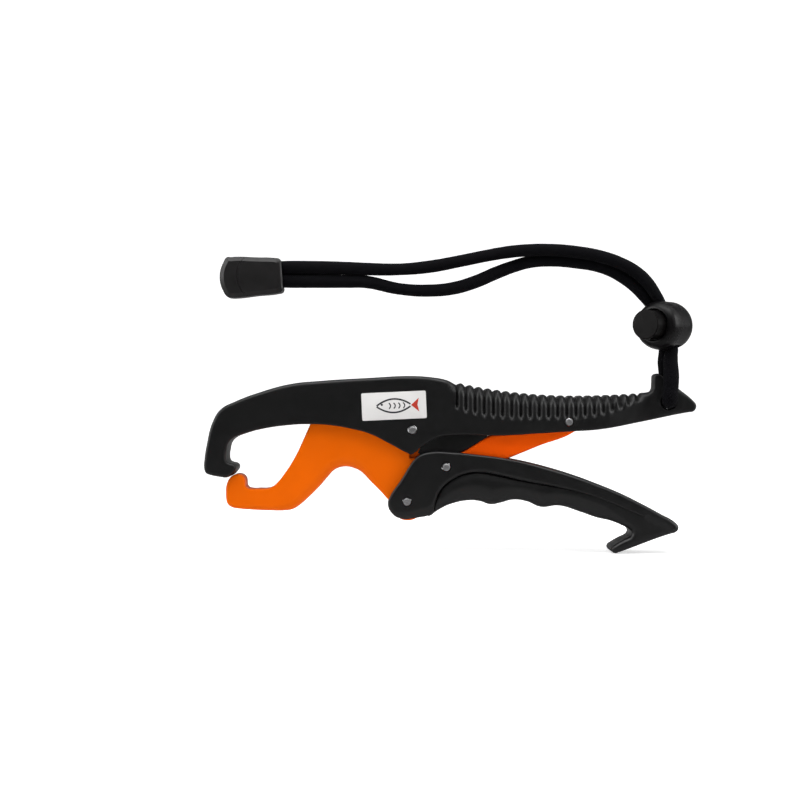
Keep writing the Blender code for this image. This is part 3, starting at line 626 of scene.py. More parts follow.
def braided(name, colour):
    """Braided elastic cord: two families of strands that cross, on the cord's own UV, with painted shade in
    the gaps between them, plus a soft sheen.
    """
    nodes, shader = shader_of(
        name, Roughness=0.82, Specular_IOR_Level=0.10, Sheen_Weight=0.015, Sheen_Roughness=0.45
    )
    around, along, _ = nodes.axes(nodes.add("TexCoord").outputs["UV"])
    heights = []
    for hand in (1.0, -1.0):
        total = nodes.math("ADD", nodes.math("MULTIPLY", around, hand * CORD_STRANDS), along)
        wave = nodes.math("SINE", nodes.math("MULTIPLY", total, math.pi))
        heights.append(nodes.math("ABSOLUTE", wave))
    cross = nodes.math("MULTIPLY", *heights)
    # Painted shade: the colour falls to 0.45 of the cord's black in the gaps between strands.
    tint = nodes.ramp(cross, scaled(colour, 0.45), colour, at=(0.05, 0.75))
    nodes.join(tint, shader.inputs["Base Color"])
    fuzz = nodes.noise(2200.0, 4.0, 0.7)
    nodes.bump(shader, fuzz, 0.00005, nodes.bump(shader, cross, 0.00018), 0.7)
    return nodes.owner


# The cord's strands run round it and repeat along it, in millimetres.
CORD_STRANDS = 16.0
STRAND_PITCH = 0.9

BODY_BLACK = moulded("body_black", (0.0058, 0.0058, 0.0061), 0.38, specular=0.45)
HANDLE_BLACK = moulded("handle_black", (0.0058, 0.0058, 0.0061), 0.36, grain=0.000009)
WARM_SHEEN = (1.0, 0.50, 0.12, 1.0)
JAW_ORANGE = moulded("jaw_orange", (0.86, 0.130, 0.001), 0.34, 0.000008, 1.06, specular=0.35, mottle=0.04)
# Painted light: the link's orange is made brighter and redder than the jaw's to make up for the shade it
# sits in.
LINK_ORANGE = moulded("link_orange", (0.95, 0.092, 0.001), 0.42, 0.000008, 1.06, specular=0.3, mottle=0.05)
for orange in (JAW_ORANGE, LINK_ORANGE):
    orange.node_tree.nodes["Principled BSDF"].inputs["Specular Tint"].default_value = WARM_SHEEN
PIN_STEEL = turned_steel("pin_steel", (0.62, 0.62, 0.63), 0.40)
SPRING_STEEL = turned_steel("spring_steel", (0.50, 0.50, 0.52), 0.28)
LABEL_WHITE = printed_vinyl("label_white", (0.77, 0.76, 0.75))
PRINT_DARK = printed_vinyl("print_dark", (0.022, 0.022, 0.026))
PRINT_RED = printed_vinyl("print_red", (0.55, 0.040, 0.020))
CORD_BLACK = braided("cord_black", (0.0030, 0.0028, 0.0046))
CAP_BLACK = moulded("cap_black", (0.0088, 0.0080, 0.0083), 0.42, grain=0.000014)
LOCK_BLACK = moulded("lock_black", (0.0040, 0.0036, 0.0040), 0.30, grain=0.000010, specular=0.22)
BUTTON_BLACK = moulded("button_black", (0.0034, 0.0029, 0.0029), 0.30, grain=0.000010, specular=0.08)


# ---------------------------------------------------------------- body

def taper_at(x):
    """Share of the tail's narrowing reached at x."""
    return np.interp(x, (90.0, 96.0, 103.0, 110.0, 116.0, 121.0), (0.0, 0.12, 0.42, 0.75, 0.94, 1.0))


def rib_crest(x):
    return 16.8 + (0.0019 if x < 80.0 else 0.0013) * (x - 80.0) ** 2


def rib_drop(x):
    """How deep the back lies below the crests at x, as a share of the rib depth."""
    phase = (x - RIB_FIRST) / RIB_PITCH
    from_groove = np.abs(phase - np.round(phase))
    share = (1.0 - 2.0 * from_groove) ** 1.8
    last = RIB_FIRST + (RIB_COUNT - 1) * RIB_PITCH
    first = RIB_FIRST - RIB_PITCH
    within = smooth_step(x, first - 0.9, first) * (1.0 - smooth_step(x, last, last + 2.2))
    return share * within


def body_knots():
    """Nose, ribbed back, ear, tail, underside, mouth and chin."""
    back = []
    steps = 8
    for step in range(steps * 21):
        x = 21.4 + step * RIB_PITCH / steps
        back.append((x, rib_crest(x) - RIB_DEPTH * float(rib_drop(np.array(x)))))
    return outline(
        (1.7, "-101.5 -18.6, -101.3 -14, -100.2 -7, -97.2 4.3, -93.4 10.1, -86.3 13.9"),
        (1.9, "-74 18.5, -59.5 22.4, -45 23.9, -20.5 25.4, -1 26.3, 9 25.7"), (2.4, "17 24.2"),
        (3.8, "19.5 23"), (5.2, [point for point in back if point[0] < 112.4]), (3.0, "115 18.3"),
        (1.4, "117.2 18.8"), (1.2, "118.1 20.3, 118.3 22.4, 118.4 25.2"),
        (1.3, arc((120.3, 25.6), 2.0, 150.0, 50.0, 3) + [(125.0, 24.2), (131.7, 19.4)]),
        (1.3, arc((136.6, 11.5), 2.9, 52.0, -98.0, 5)),
        (1.0, "111.2 3.7, 91 0.2, 76.5 -0.8, 62 -1.7, 42.5 -2.8, 22 -2.5"),
        (1.0, "13.4 -3.5, 8.5 -5.6, 4 -8.5, 0.9 -11.2, -0.7 -11.9, -3 -11"),
        (0.9, "-10.9 -6.8, -20.7 -1.9, -30.4 0.7, -40 2.3, -50 2.8, -59.5 2.4"),
        (1.2, "-74 0.3, -83.8 -2.4, -87.4 -4, -89.6 -6.2, -90.5 -9.4, -90.9 -13"),
        (1.2, "-90.4 -15.3, -88.8 -16.2, -86.9 -16.7, -85.9 -18.3, -87.2 -20.9"),
        (1.5, "-88.8 -22.5, -90.6 -23.2, -93.6 -22.9, -98.2 -22, -100.6 -21"),
    )


def channel_knots():
    roof = [(-52.0, 10.0), (-46.0, 15.5), (-30.0, 19.8), (0.0, 21.8), (14.0, 20.4)]
    roof += [(x, rib_crest(x) - 4.2) for x in (24.0, 33.0, 46.0, 60.0, 77.0, 96.0)]
    return corners([(-53.0, -30.0), (-53.0, 4.0)] + roof + [(99.0, 11.5), (100.5, -30.0)])


def rib_foot(x):
    """Where the ribs run out on the side of the body."""
    return 4.6 + 11.5 * np.minimum(1.0, np.abs((x - 62.0) / 52.0)) ** 3.2


def build_body():
    columns = np.arange(19.0, 117.0, RIB_PITCH / 12)
    rows = np.arange(2.6, 26.0, 0.65)
    ribs = np.array([(x, z) for x in columns for z in rows if z > rib_foot(x) - 1.5])
    hole = np.array(LANYARD_HOLE)
    turn = np.linspace(0, 2 * math.pi, 48, endpoint=False)
    circle = [np.array((math.cos(a), math.sin(a))) for a in turn]
    around = [hole + point * radius for radius in (4.2, 4.8, 5.4, 6.2, 7.2, 8.4, 9.6) for point in circle]

    def half(place):
        return BODY_HALF + (TAIL_HALF - BODY_HALF) * taper_at(place[:, 0])

    def shape(place, height, fields):
        x = place[:, 0]
        foot = rib_foot(x)
        groove = rib_drop(x) * smooth_step(place[:, 1], foot - 0.6, foot + 2.6)
        depth = np.minimum(RIB_SIDE_DEPTH, height * 0.25)
        away = np.linalg.norm(place - hole, axis=1)
        boss = BOSS_HEIGHT * (1.0 - smooth_step(away, *BOSS_REACH)) * smooth_step(fields[:, 2], 0.0, 2.5)
        return height - groove * depth + boss

    body = relief("grip_shell", body_knots(), half, fill=1.7, extra=(ribs, around), shape=shape)
    carve(body, prism("channel", channel_knots(), CHANNEL_HALF))
    drill(body, ((0.0, 0.0), LINK_REAR_PIVOT))
    carve(body, lanyard_hole())
    size = (LABEL_SIZE[0] + 0.5, 2 * LABEL_RECESS, LABEL_SIZE[1] + 0.5)
    carve(body, block("recess", size, (LABEL_CENTRE[0], -BODY_HALF, LABEL_CENTRE[1]), LABEL_TURN))
    return piece(body, BODY_BLACK, "body", ["grip_body"])


def lanyard_hole():
    """A waisted hole with generously rounded mouths."""
    profile = [(0.0, 12.0), (6.6, 12.0)]
    for step in range(7):
        angle = math.radians(15.0 * step)
        profile.append((5.0 - 1.62 * math.sin(angle), TAIL_HALF + 0.6 - 1.9 * (1 - math.cos(angle))))
    profile += [(radius, -along) for radius, along in reversed(profile)]
    profile.reverse()
    return turned("lanyard_hole", profile, (LANYARD_HOLE[0], 0.0, LANYARD_HOLE[1]), ACROSS)


LABEL_CENTRE = (-9.0, 11.8)
LABEL_SIZE = (31.4, 13.4)
LABEL_TURN = Matrix.Rotation(-math.radians(2.6), 4, "Y")
LABEL_RECESS = 0.5
LABEL_PROUD = 0.15
LABEL_FACE = BODY_HALF + LABEL_PROUD
LABEL_CORNER = 0.7
PRINT_PROUD = 0.02
PRINT_DEPTH = 0.05


def label_place(x, z, proud=0.0):
    """A point on the label, from its own middle, in the frame's millimetres."""
    place = LABEL_TURN @ Vector((x, 0.0, z))
    return (LABEL_CENTRE[0] + place.x, -LABEL_FACE - proud, LABEL_CENTRE[1] + place.z)


def flat_print(name, loop, material):
    """A thin printed shape on the label, from its outline about the label's middle."""
    levels = (PRINT_PROUD, -PRINT_DEPTH)
    mark = slab(name, *[[label_place(x, z, proud) for x, z in loop] for proud in levels])
    shape = bmesh.new()
    shape.from_mesh(mark.data)
    bmesh.ops.recalc_face_normals(shape, faces=shape.faces)
    bmesh.ops.triangulate(shape, faces=shape.faces)
    shape.to_mesh(mark.data)
    shape.free()
    piece(mark, material, "body", [], sharp=30.0)


def build_label():
    """A white sticker with rounded corners."""
    width = LABEL_SIZE[0] / 2
    height = LABEL_SIZE[1] / 2
    loop = []
    for sx, sz, start in ((1, 1, 0), (-1, 1, 90), (-1, -1, 180), (1, -1, 270)):
        middle = (sx * (width - LABEL_CORNER), sz * (height - LABEL_CORNER))
        loop += arc(middle, LABEL_CORNER, start, start + 90, 6)
    verts = []
    for inset, depth in ((0.0, LABEL_RECESS + LABEL_PROUD - 0.3), (0.0, 0.06), (0.06, 0.0)):
        for x, z in loop:
            share = 1.0 - inset / height
            verts.append(tuple(in_frame(label_place(x * share, z * share, -depth))))
    count = len(loop)
    faces = [tuple(reversed(range(count))), tuple(range(2 * count, 3 * count))]
    for level in (0, 1):
        for i in range(count):
            j = (i + 1) % count
            base = level * count
            faces.append((base + i, base + j, base + count + j, base + count + i))
    piece(from_faces("label_film", verts, faces), LABEL_WHITE, "body", ["label"])


def stroke(points, width):
    """The outline of a thin line of even width."""
    line = np.array(points, float)
    lean = np.gradient(line, axis=0)
    lean /= np.linalg.norm(lean, axis=1)[:, None]
    side = np.stack([-lean[:, 1], lean[:, 0]], axis=1) * width / 2
    return [tuple(p) for p in np.concatenate([line - side, (line + side)[::-1]])]


def build_fish():
    """Two arcs for the body, a red tail and a row of scales."""
    back = [(x, 3.3 * math.cos(math.pi * x / 17.0) ** 0.8) for x in np.linspace(-8.4, 8.0, 40)]
    belly = [(x, -z) for x, z in back]
    strokes = [("fish_back", stroke(back, 0.8)), ("fish_belly", stroke(belly, 0.8))]
    for number, x in enumerate((-3.2, -0.9, 1.4, 3.7)):
        scale = arc((x, 0.0), 1.5, -62.0, 62.0, 12)
        strokes.append((f"fish_scale_{number + 1}", stroke(scale, 0.6)))
    strokes.append(("fish_eye", arc((-5.9, 0.7), 0.55, 0.0, 345.0, 23)))
    for name, loop in strokes:
        flat_print(name, loop, PRINT_DARK)
    flat_print("fish_tail", [(8.3, 0.0), (12.2, 3.4), (11.4, 0.0), (12.2, -3.4)], PRINT_RED)


# ---------------------------------------------------------------- jaw, handle and link

def jaw_knots():
    """Mouth, tooth, tip, sole, arm, foot, back and top."""
    return outline(
        (0.9, "-47 8.5, -50 2.7, -53.4 -4.9, -57.3 -13.1, -62.2 -20.9, -66.8 -26.5"),
        (1.0, "-69 -28.1, -71.2 -28.8, -75 -28.9, -79.2 -28.9, -81.1 -28.2"),
        (1.1, "-81.7 -26.8, -81.8 -24.8, -83 -22.5, -85.2 -21.7, -87.3 -22, -89.6 -23.9"),
        (1.6, "-91.2 -28, -91.3 -31, -91.2 -33.6, -90.3 -36.5, -88 -38, -84.5 -38.6"),
        (2.4, "-79 -39.1, -70 -39.5"), (3.0, "-62 -39.5, -58.6 -38.9"), (4.2, "-55.6 -37.2, -51 -33.2"),
        (4.6, "-45.4 -27.6, -41.6 -23.2, -38.5 -19.9, -35.6 -18.5, -32 -18.1, -28.6 -18.9"),
        (4.0, "-25.6 -20.3"), (2.2, "-20.4 -25.3"), (1.2, "-12.6 -33.4"),
        (1.0, arc((HANDLE_PIVOT[0] + 0.4, HANDLE_PIVOT[1] - 0.9), 8.4, 180.0, 355.0, 6)),
        (0.9, [(5.4, -26.0), (5.4, -12.0), (6.0, -3.0)] + arc((0.0, 0.0), 6.2, 0.0, 75.0, 3)),
        (0.9, "-12 9.2, -28 11, -41 11.2"),
    )


def build_jaw():
    jaw = relief("lower_jaw_moulding", jaw_knots(), INNER_HALF, spacing=0.9, fill=1.9)
    room = corners("-1.6 -14, -1.6 -9.2, 0.6 -5.4, 4.4 -1.8, 12 -1.8, 12 -14")
    for side in (-1.0, 1.0):
        carve(jaw, prism("ear_room", room, EAR_ROOM_HALF, side * (JAW_ROOT_HALF + EAR_ROOM_HALF)))
    drill(jaw, ((0.0, 0.0), HANDLE_PIVOT), PIN_HOLE + 0.2)
    return piece(jaw, JAW_ORANGE, "jaw", ["lower_jaw"])


def handle_knots():
    """Front, foot, finger grooves, hook, heel and top."""
    return outline(
        (1.1, "3.4 -12.3, 1 -14.3, -5.5 -24.2, -11.4 -33.4"), (1.8, "-12 -36, -10.6 -40"),
        (3.4, "-6.1 -43.3"), (5.0, "3.6 -43.1"), (5.4, "8.4 -42.2, 13.4 -38.9"), (6.6, "18.2 -36.7"),
        (7.6, "27.9 -34.7, 33 -35.1, 38.5 -36.7, 43 -36, 49.5 -34.4, 56.1 -35.2"),
        (7.4, "63 -37.9, 72 -37.3, 82.4 -40.3, 90.5 -43.1"), (5.0, "97 -44.5"),
        (2.6, "103 -46.9, 105.8 -48.4, 106.8 -49.5, 106.7 -50.9, 105.6 -52.1"),
        (2.2, "103 -53.4, 98.8 -55.8, 97.2 -57, 96.8 -58.3, 97.5 -59.6, 98.9 -60.2"),
        (2.2, "101 -59.6, 105.8 -57.9, 110.6 -56.1"),
        (2.2, [(120.3, -52.5), (126.6, -50.5)] + arc((127.1, -47.7), 2.6, -75.0, 55.0, 3)),
        (1.8, "120.3 -40.6, 110.6 -35.4, 100.8 -30.6, 91.1 -26.7, 81.4 -23.1, 66.8 -18.6"),
        (1.2, "52.2 -15.1, 42.5 -13.4, 32.8 -12.2, 21 -11, 9 -10.7"),
    )


# The step from the handle's plate down to its finger grip: its sizes, and the line that it follows.
SHOULDER_REACH = 1.5
SHOULDER_SHARE = 0.55
GRIP_SINK = 0.9
GROOVE_DEPTH = 0.75
GROOVE_AT = 0.45
GROOVE_WIDTH = 0.38
LIP_DEPTH = 0.3
SWELL_DEPTH = 0.8
STEP_LINE = numbers(
    "9.8 -43.6, 10 -39.5, 11 -34.5, 12.6 -30.4, 15.2 -27, 18.6 -24.3, 23 -22, 27.5 -20.6, 31.5 -20.2, "
    "36.5 -20.6, 43 -21.9, 55 -24.6, 70 -27.4, 88 -31.8, 104 -38.2, 113 -42.2"
)


def handle_slot_knots():
    """Under the web, to the rear, back along the floor, and open to the front."""
    return corners(
        "13 -5, 13 -13.4, 15.5 -13.4, 19 -12.3, 24.6 -10.2, 36 -2.5, 84 -10, 88 -22, 86 -31.5, 76 -32, "
        "60 -30.8, 48 -29, 30 -27, 14 -25.5, 9 -27, 8 -34, 7.6 -50, -20 -50, -20 -5"
    )


def web_knots():
    round_top = edge(0.8, "16 0.5, 28 2, 35.8 -1")
    return corners("14.2 -3.6") + round_top + corners("36.8 -3.3, 25.1 -10.25, 19 -12.2, 14 -12.7")


def smooth_line(points, spacing=0.7):
    """Closely spaced points of a smooth open line."""
    points = np.array(points, float)
    along = np.concatenate([[0.0], np.cumsum(np.linalg.norm(np.diff(points, axis=0), axis=1))])
    fine = np.arange(0.0, along[-1], spacing)
    slope = np.gradient(points, along, axis=0)
    rows = []
    for value in fine:
        i = min(np.searchsorted(along, value, side="right") - 1, len(points) - 2)
        length = along[i + 1] - along[i]
        t = (value - along[i]) / length
        row = points[i] * (2 * t ** 3 - 3 * t ** 2 + 1) + slope[i] * length * (t ** 3 - 2 * t ** 2 + t)
        row = row + points[i + 1] * (3 * t ** 2 - 2 * t ** 3) + slope[i + 1] * length * (t ** 3 - t ** 2)
        rows.append(row)
    return np.array(rows)


def build_handle():
    line = smooth_line(STEP_LINE)
    offsets = (-2.6, -1.7, -1.1, -0.6, -0.2, 0.1, 0.35, 0.6, 0.9, 1.25, 1.7, 2.3, 3.0)
    beside = rows_along(line, offsets, 0.7)

    def shape(place, height, fields):
        signed = line_fields(place, line)
        distance = signed[:, 0]
        share = signed[:, 1]
        fade = 1.0 - smooth_step(share, 0.42, 0.80)
        grip = smooth_step(distance, -0.1, 0.35)
        fall = rounded_profile(np.clip(-distance / SHOULDER_REACH, 0.0, 1.0))
        shoulder = SHOULDER_REACH * fall * (distance < 0) * fade * SHOULDER_SHARE
        lower = GRIP_SINK - 0.35 * (1.0 - fade)
        groove = GROOVE_DEPTH * fade * np.exp(-((distance - GROOVE_AT) / GROOVE_WIDTH) ** 2)
        lip = fade * grip * (LIP_DEPTH * np.exp(-np.maximum(distance - GROOVE_AT, 0.0) / 0.9))
        lip += SWELL_DEPTH * fade * grip * (1.0 - smooth_step(distance, 0.5, 5.0))
        plate = height - shoulder
        grip_face = height - lower - groove - lip
        flat = plate * (1.0 - grip) + grip_face * grip
        return np.where(fields[:, 2] < 1e-6, np.minimum(height, flat), flat)

    handle = relief("handle_moulding", handle_knots(), BODY_HALF, fill=1.5, extra=(beside,), shape=shape)
    carve(handle, prism("handle_slot", handle_slot_knots(), CHANNEL_HALF))
    carve(handle, relief("web", web_knots(), WEB_HALF, fill=2.0), "UNION")
    ear = corners("2.7 -11.2, 4.1 -8.4, 6.1 -6.9, 10.9 -4, 15.2 -2.9, 15.2 -12.4, 4.2 -12.4")
    for side in (-1.0, 1.0):
        carve(handle, prism("ear", ear, EAR_HALF, side * EAR_MIDDLE), "UNION")
    drill(handle, (HANDLE_PIVOT, LINK_FRONT_PIVOT))
    return piece(handle, HANDLE_BLACK, "squeeze_handle", ["handle"])


def link_knots():
    front = Vector(LINK_FRONT_PIVOT)
    along = (Vector(LINK_REAR_PIVOT) - front).normalized()
    over = Vector((-along.y, along.x))
    lean = math.degrees(math.atan2(along.y, along.x))

    def at(distance, width):
        place = front + along * distance + over * width
        return (place.x, place.y)

    hub = arc(LINK_FRONT_PIVOT, 4.1, lean + 270.0, lean + 90.0, 6)
    top = [at(9.5, 4.1), at(16.0, 5.2), at(23.5, 6.7), at(31.0, 6.5), at(46.0, 6.0)]
    end = arc(LINK_REAR_PIVOT, 5.6, lean + 80.0, lean - 80.0, 6)
    bottom = [at(46.0, -6.0), at(31.0, -6.5), at(23.5, -6.7), at(16.0, -5.2), at(9.5, -4.1)]
    return edge(1.0, hub + top + end + bottom)


def build_link():
    link = relief("toggle_link_moulding", link_knots(), INNER_HALF, fill=1.8)
    drill(link, (LINK_FRONT_PIVOT, LINK_REAR_PIVOT))
    carve(link, block("fork", (24.0, 7.2, 18.0), (LINK_REAR_PIVOT[0] + 4.0, 0.0, 2.0)))
    return piece(link, LINK_ORANGE, "link", ["toggle_link"])


def build_pin(node, body):
    """A cold-headed steel pin: domed ends with a small chamfer and a centre mark."""
    x, z = pivot_of(node)
    dome = numbers("0 0.02, 0.35 0.06, 0.7 0.12, 1.2 0.08, 1.6 -0.05, 1.82 -0.2")
    end = [(radius, PIN_HALF + rise) for radius, rise in dome + [(PIN_RADIUS, -0.5)]]
    profile = [(radius, -along) for radius, along in end] + list(reversed(end))
    pin = turned(node + "_steel", profile, (x, 0.0, z), ACROSS)
    return piece(pin, PIN_STEEL, body, [node], sharp=50.0)


def build_return_spring():
    """A torsion spring round the rear pin; its legs lie along the body and the link."""
    turns, coil, wire = 3.5, 3.0, 0.6
    width = turns * 1.5
    x0, z0 = LINK_REAR_PIVOT
    points = [(x0 + 11.0, -width / 2, z0 + 7.6), (x0 + 4.0, -width / 2, z0 + 4.2)]
    steps = int(turns * 32)
    for step in range(steps + 1):
        share = step / steps
        angle = math.pi / 2 + share * turns * 2 * math.pi
        points.append((x0 + coil * math.cos(angle), (share - 0.5) * width, z0 + coil * math.sin(angle)))
    points.append((x0 - 7.2, width / 2, z0 - 5.6))
    spring = tube("return_spring_wire", [(Vector(point), wire) for point in points], 12)
    ends = [in_frame((x0, side * width / 2, z0)) for side in (-1.0, 1.0)]
    bridging(spring, SPRING_STEEL, ("body", "link"), "return_spring", *ends)


# ---------------------------------------------------------------- lanyard

# The cord: its shares are of its radius, pinched in the lock and stretched over the tail's front.
CORD_RADIUS = 3.05
PINCHED_CORD = 0.8
FRONT_SHARE = 1.27
CORD_BEND = 4.0
CORD_SIDE = TAIL_HALF + CORD_BEND
CORD_SPACING = 2.7
BRAID_DEPTH = 0.09
# The lock slides along this line of the two strands.
LINE_TOP = Vector((120.7, 0.0, 61.4))
LINE_BOTTOM = Vector((125.9, 0.0, 41.7))
LINE = (LINE_TOP - LINE_BOTTOM).normalized()
# The lock's own sizes; distances are along LOCK_AXIS from its centre, with the button's side negative.
LOCK_SIDE = Vector((LOCK_AXIS.y, -LOCK_AXIS.x, 0.0))
LOCK_CENTRE = Vector((126.1, 0.0, 51.1))
LOCK_RADIUS = 12.0
LOCK_FRONT = 13.8
LOCK_MOUTH = 10.3
MOUTH_RADIUS = 7.8
BORE_RADIUS = 6.7
BUTTON_OUT = 21.3
BUTTON_RADIUS = 7.2
STEM_RADIUS = 6.4
STEM_BACK = 4.4
SPRING_RADIUS = 4.4
SPRING_WIRE = 0.35


def tube(name, rows, sides, relief_of=None):
    """A tube through (place, radius) rows in millimetres; its UV goes once around and along in strands."""
    places = [row[0] for row in rows]
    count = len(places)
    heading = []
    for i in range(count):
        heading.append((places[min(i + 1, count - 1)] - places[max(i - 1, 0)]).normalized())
    normal = heading[0].orthogonal().normalized()
    verts = []
    along = 0.0
    lengths = []
    for i in range(count):
        if i:
            along += (places[i] - places[i - 1]).length
            normal = (normal - heading[i] * normal.dot(heading[i])).normalized()
        lengths.append(along)
        side = heading[i].cross(normal)
        for k in range(sides):
            angle = 2 * math.pi * k / sides
            reach = rows[i][1] + (relief_of(k / sides, along) if relief_of else 0.0)
            outward = normal * math.cos(angle) + side * math.sin(angle)
            verts.append(tuple(in_frame(places[i] + outward * reach)))
    faces = []
    uvs = []
    for i in range(count - 1):
        for k in range(sides):
            n = (k + 1) % sides
            faces.append((i * sides + k, i * sides + n, (i + 1) * sides + n, (i + 1) * sides + k))
            left, right = k / sides, (k + 1) / sides
            low, high = lengths[i] / STRAND_PITCH, lengths[i + 1] / STRAND_PITCH
            uvs += [(left, low), (right, low), (right, high), (left, high)]
    faces.append(tuple(reversed(range(sides))))
    faces.append(tuple(range((count - 1) * sides, count * sides)))
    uvs += [(0.0, 0.0)] * (2 * sides)
    made = from_faces(name, verts, faces)
    layer = made.data.uv_layers.new(name="along")
    layer.data.foreach_set("uv", np.array(uvs, np.float32).ravel())
    return made


def line_at(z):
    return LINE_TOP.lerp(LINE_BOTTOM, (LINE_TOP.z - z) / (LINE_TOP.z - LINE_BOTTOM.z))


def cord_knots():
    """Knots (place, share of the cord's radius) from one cut end, round the lanyard hole, to the other."""
    upper = numbers(
        "-85 -0.1 79.8 1.05, -66 -0.1 79.8 1.05, -61 -0.2 79.85 1.12, -46 -0.3 79.8 1.1, "
        "-32 -0.3 79.5 1.06, -23 -0.5 79.15 1.03, -6.1 -0.6 79 0.96, 8.7 -0.8 80.3 1.02, "
        "23.5 -1.1 83 0.98, 36 -1.5 85.5 0.97, 46 -1.9 87.2 1, 56 -2.1 88.2 1, 68 -2.1 88.4 1, "
        "82.7 -2.1 87.1 1, 93 -2 85.1 1, 101.6 -1.9 82.2 1, 110.4 -1.8 77.4 1, 115.4 -1.8 72.7 1, "
        "119.2 -1.8 67.3 0.95"
    )
    lower = numbers(
        "117 1.7 62.9 0.9, 114.3 1.7 66.4 1, 109.5 1.8 71.2 1, 104.1 1.8 75.2 1, 98.4 1.8 78.4 1, "
        "91.4 1.9 80.9 1, 82 2 82.5 1, 68 2.1 83.6 1, 58 2 82.8 1, 50 1.8 80.6 1, 41.5 1.5 77.4 1.05, "
        "31 1.1 72.9 1.05, 20.5 0.8 69.8 1.04, 8.7 0.6 68.6 1, -6.1 0.5 69.4 0.95, -23 0.4 72.9 1.03, "
        "-32 0.4 73.1 1.06, -46 0.3 73.2 1.1, -61 0.2 73.3 1.12, -66 0.1 73.4 1.05, -85 0.1 73.4 1.05"
    )

    def in_lock(side):
        shift = LOCK_SIDE * side * CORD_SPACING
        return [(line_at(z) + shift, PINCHED_CORD) for z in (60.6, 55.0, 47.0, 40.4)]

    def below(side, share):
        x, z = LANYARD_HOLE
        points = [(x + 0.5, side * CORD_SIDE, z + 12.0, share), (x + 0.2, side * CORD_SIDE, z + 7.0, share)]
        for step in range(5):
            angle = math.radians(22.5 * step)
            across = side * (TAIL_HALF + CORD_BEND * math.cos(angle))
            slimmer = share + (1.08 - share) * (step / 4) ** 2
            points.append((x, across, z + CORD_BEND * (1.0 - math.sin(angle)), slimmer))
        return points

    x, z = LANYARD_HOLE
    front = [(x + 1.0, -5.0, 36.0, 1.12)] + below(-1.0, FRONT_SHARE) + [(x, 0.0, z, 1.0)]
    rear = [(x - 0.9, 5.2, 33.0, 0.96)] + below(1.0, 1.05)
    parts = [[(Vector(knot[:3]), knot[3]) for knot in part] for part in (upper, front + rear[::-1], lower)]
    return parts[0] + in_lock(1.0) + parts[1] + in_lock(-1.0)[::-1] + parts[2]


def smooth_path(knots, spacing):
    """Evenly spaced (place, radius) rows of the open Bezier curve through the knots."""
    place = [knot[0] for knot in knots]
    handles = []
    for i in range(len(place)):
        before = place[max(i - 1, 0)]
        after = place[min(i + 1, len(place) - 1)]
        length_in = (place[i] - before).length
        length_out = (after - place[i]).length
        if i in (0, len(place) - 1):
            handles.append((place[i] + (before - place[i]) / 3, place[i] + (after - place[i]) / 3))
            continue
        lean = (after - place[i]) / length_out + (place[i] - before) / length_in
        lean = lean / (lean.length * HANDLE_RATIO)
        handles.append((place[i] - lean * length_in, place[i] + lean * length_out))
    rows = []
    for i in range(len(place) - 1):
        a, b = place[i], place[i + 1]
        count = max(2, math.ceil((b - a).length / spacing))
        for step in range(count):
            t = step / count
            point = a * (1 - t) ** 3 + handles[i][1] * 3 * t * (1 - t) ** 2
            point = point + handles[i + 1][0] * 3 * t * t * (1 - t) + b * t ** 3
            share = knots[i][1] * (1 - t) + knots[i + 1][1] * t
            rows.append((point, CORD_RADIUS * share))
    rows.append((place[-1], CORD_RADIUS * knots[-1][1]))
    return rows


def build_cord():
    """Three stretches: the two strands above the lock, and the loop below it."""
    def strands(around, along):
        turn = around * CORD_STRANDS
        first, second = (abs(math.sin(math.pi * (x + along / STRAND_PITCH))) for x in (turn, -turn))
        return BRAID_DEPTH * (first * second - 0.6)

    rows = smooth_path(cord_knots(), 0.45)
    in_lock = [i for i, (at, _) in enumerate(rows) if at.x > 116.0 and abs(at.z - LOCK_CENTRE.z) < 0.3]
    first, last = in_lock[0], in_lock[-1]
    above = [in_frame((109.0, 0.0, 77.0)), in_frame((120.4, 0.0, 63.4))]
    below = [in_frame((LANYARD_HOLE[0], 0.0, 29.0)), in_frame((LANYARD_HOLE[0], 0.0, 39.0))]
    parts = (
        ("cord_upper_strand", rows[:first + 2], above),
        ("cord_lower_strand", rows[last - 1:], above),
        ("cord_loop", rows[first:last + 1], below),
    )
    for name, stretch, (fixed, carried) in parts:
        cord = tube(name, stretch, 48, strands)
        bridging(cord, CORD_BLACK, ("lanyard", "cord_lock"), "wrist_cord", fixed, carried)


# The end cap: its cover is let into the labelled side down to the seat, with a fine gap round it.
CAP_HALF = 6.0
COVER_SEAT = 3.3
COVER_ROUND = 12.4
COVER_GAP = 0.18


def cap_knots():
    """Round closed end, top, the end the cord enters, and underside."""
    left = arc((-80.0, 75.0), 14.6, 222.0, 138.0, 6)
    return outline(
        (2.2, left), (2.2, "-89 84.7, -87 84.9, -77 84.6, -67 84.25"), (1.4, "-65.3 83.9"),
        (0.7, "-64.5 82.9, -64.3 81, -63.6 71, -63.5 68.8"), (1.0, "-64.2 67.7"),
        (2.2, "-66 67.1, -76 66, -86.6 64.8, -88.8 64.8"),
    )


def cover_room_knots(radius):
    """Everything behind a round front edge of the given radius."""
    front = edge(0.4, arc((-73.5, 75.7), radius, 226.0, 134.0, 10))
    return front + corners("-82 95, -50 95, -50 55, -82 55")


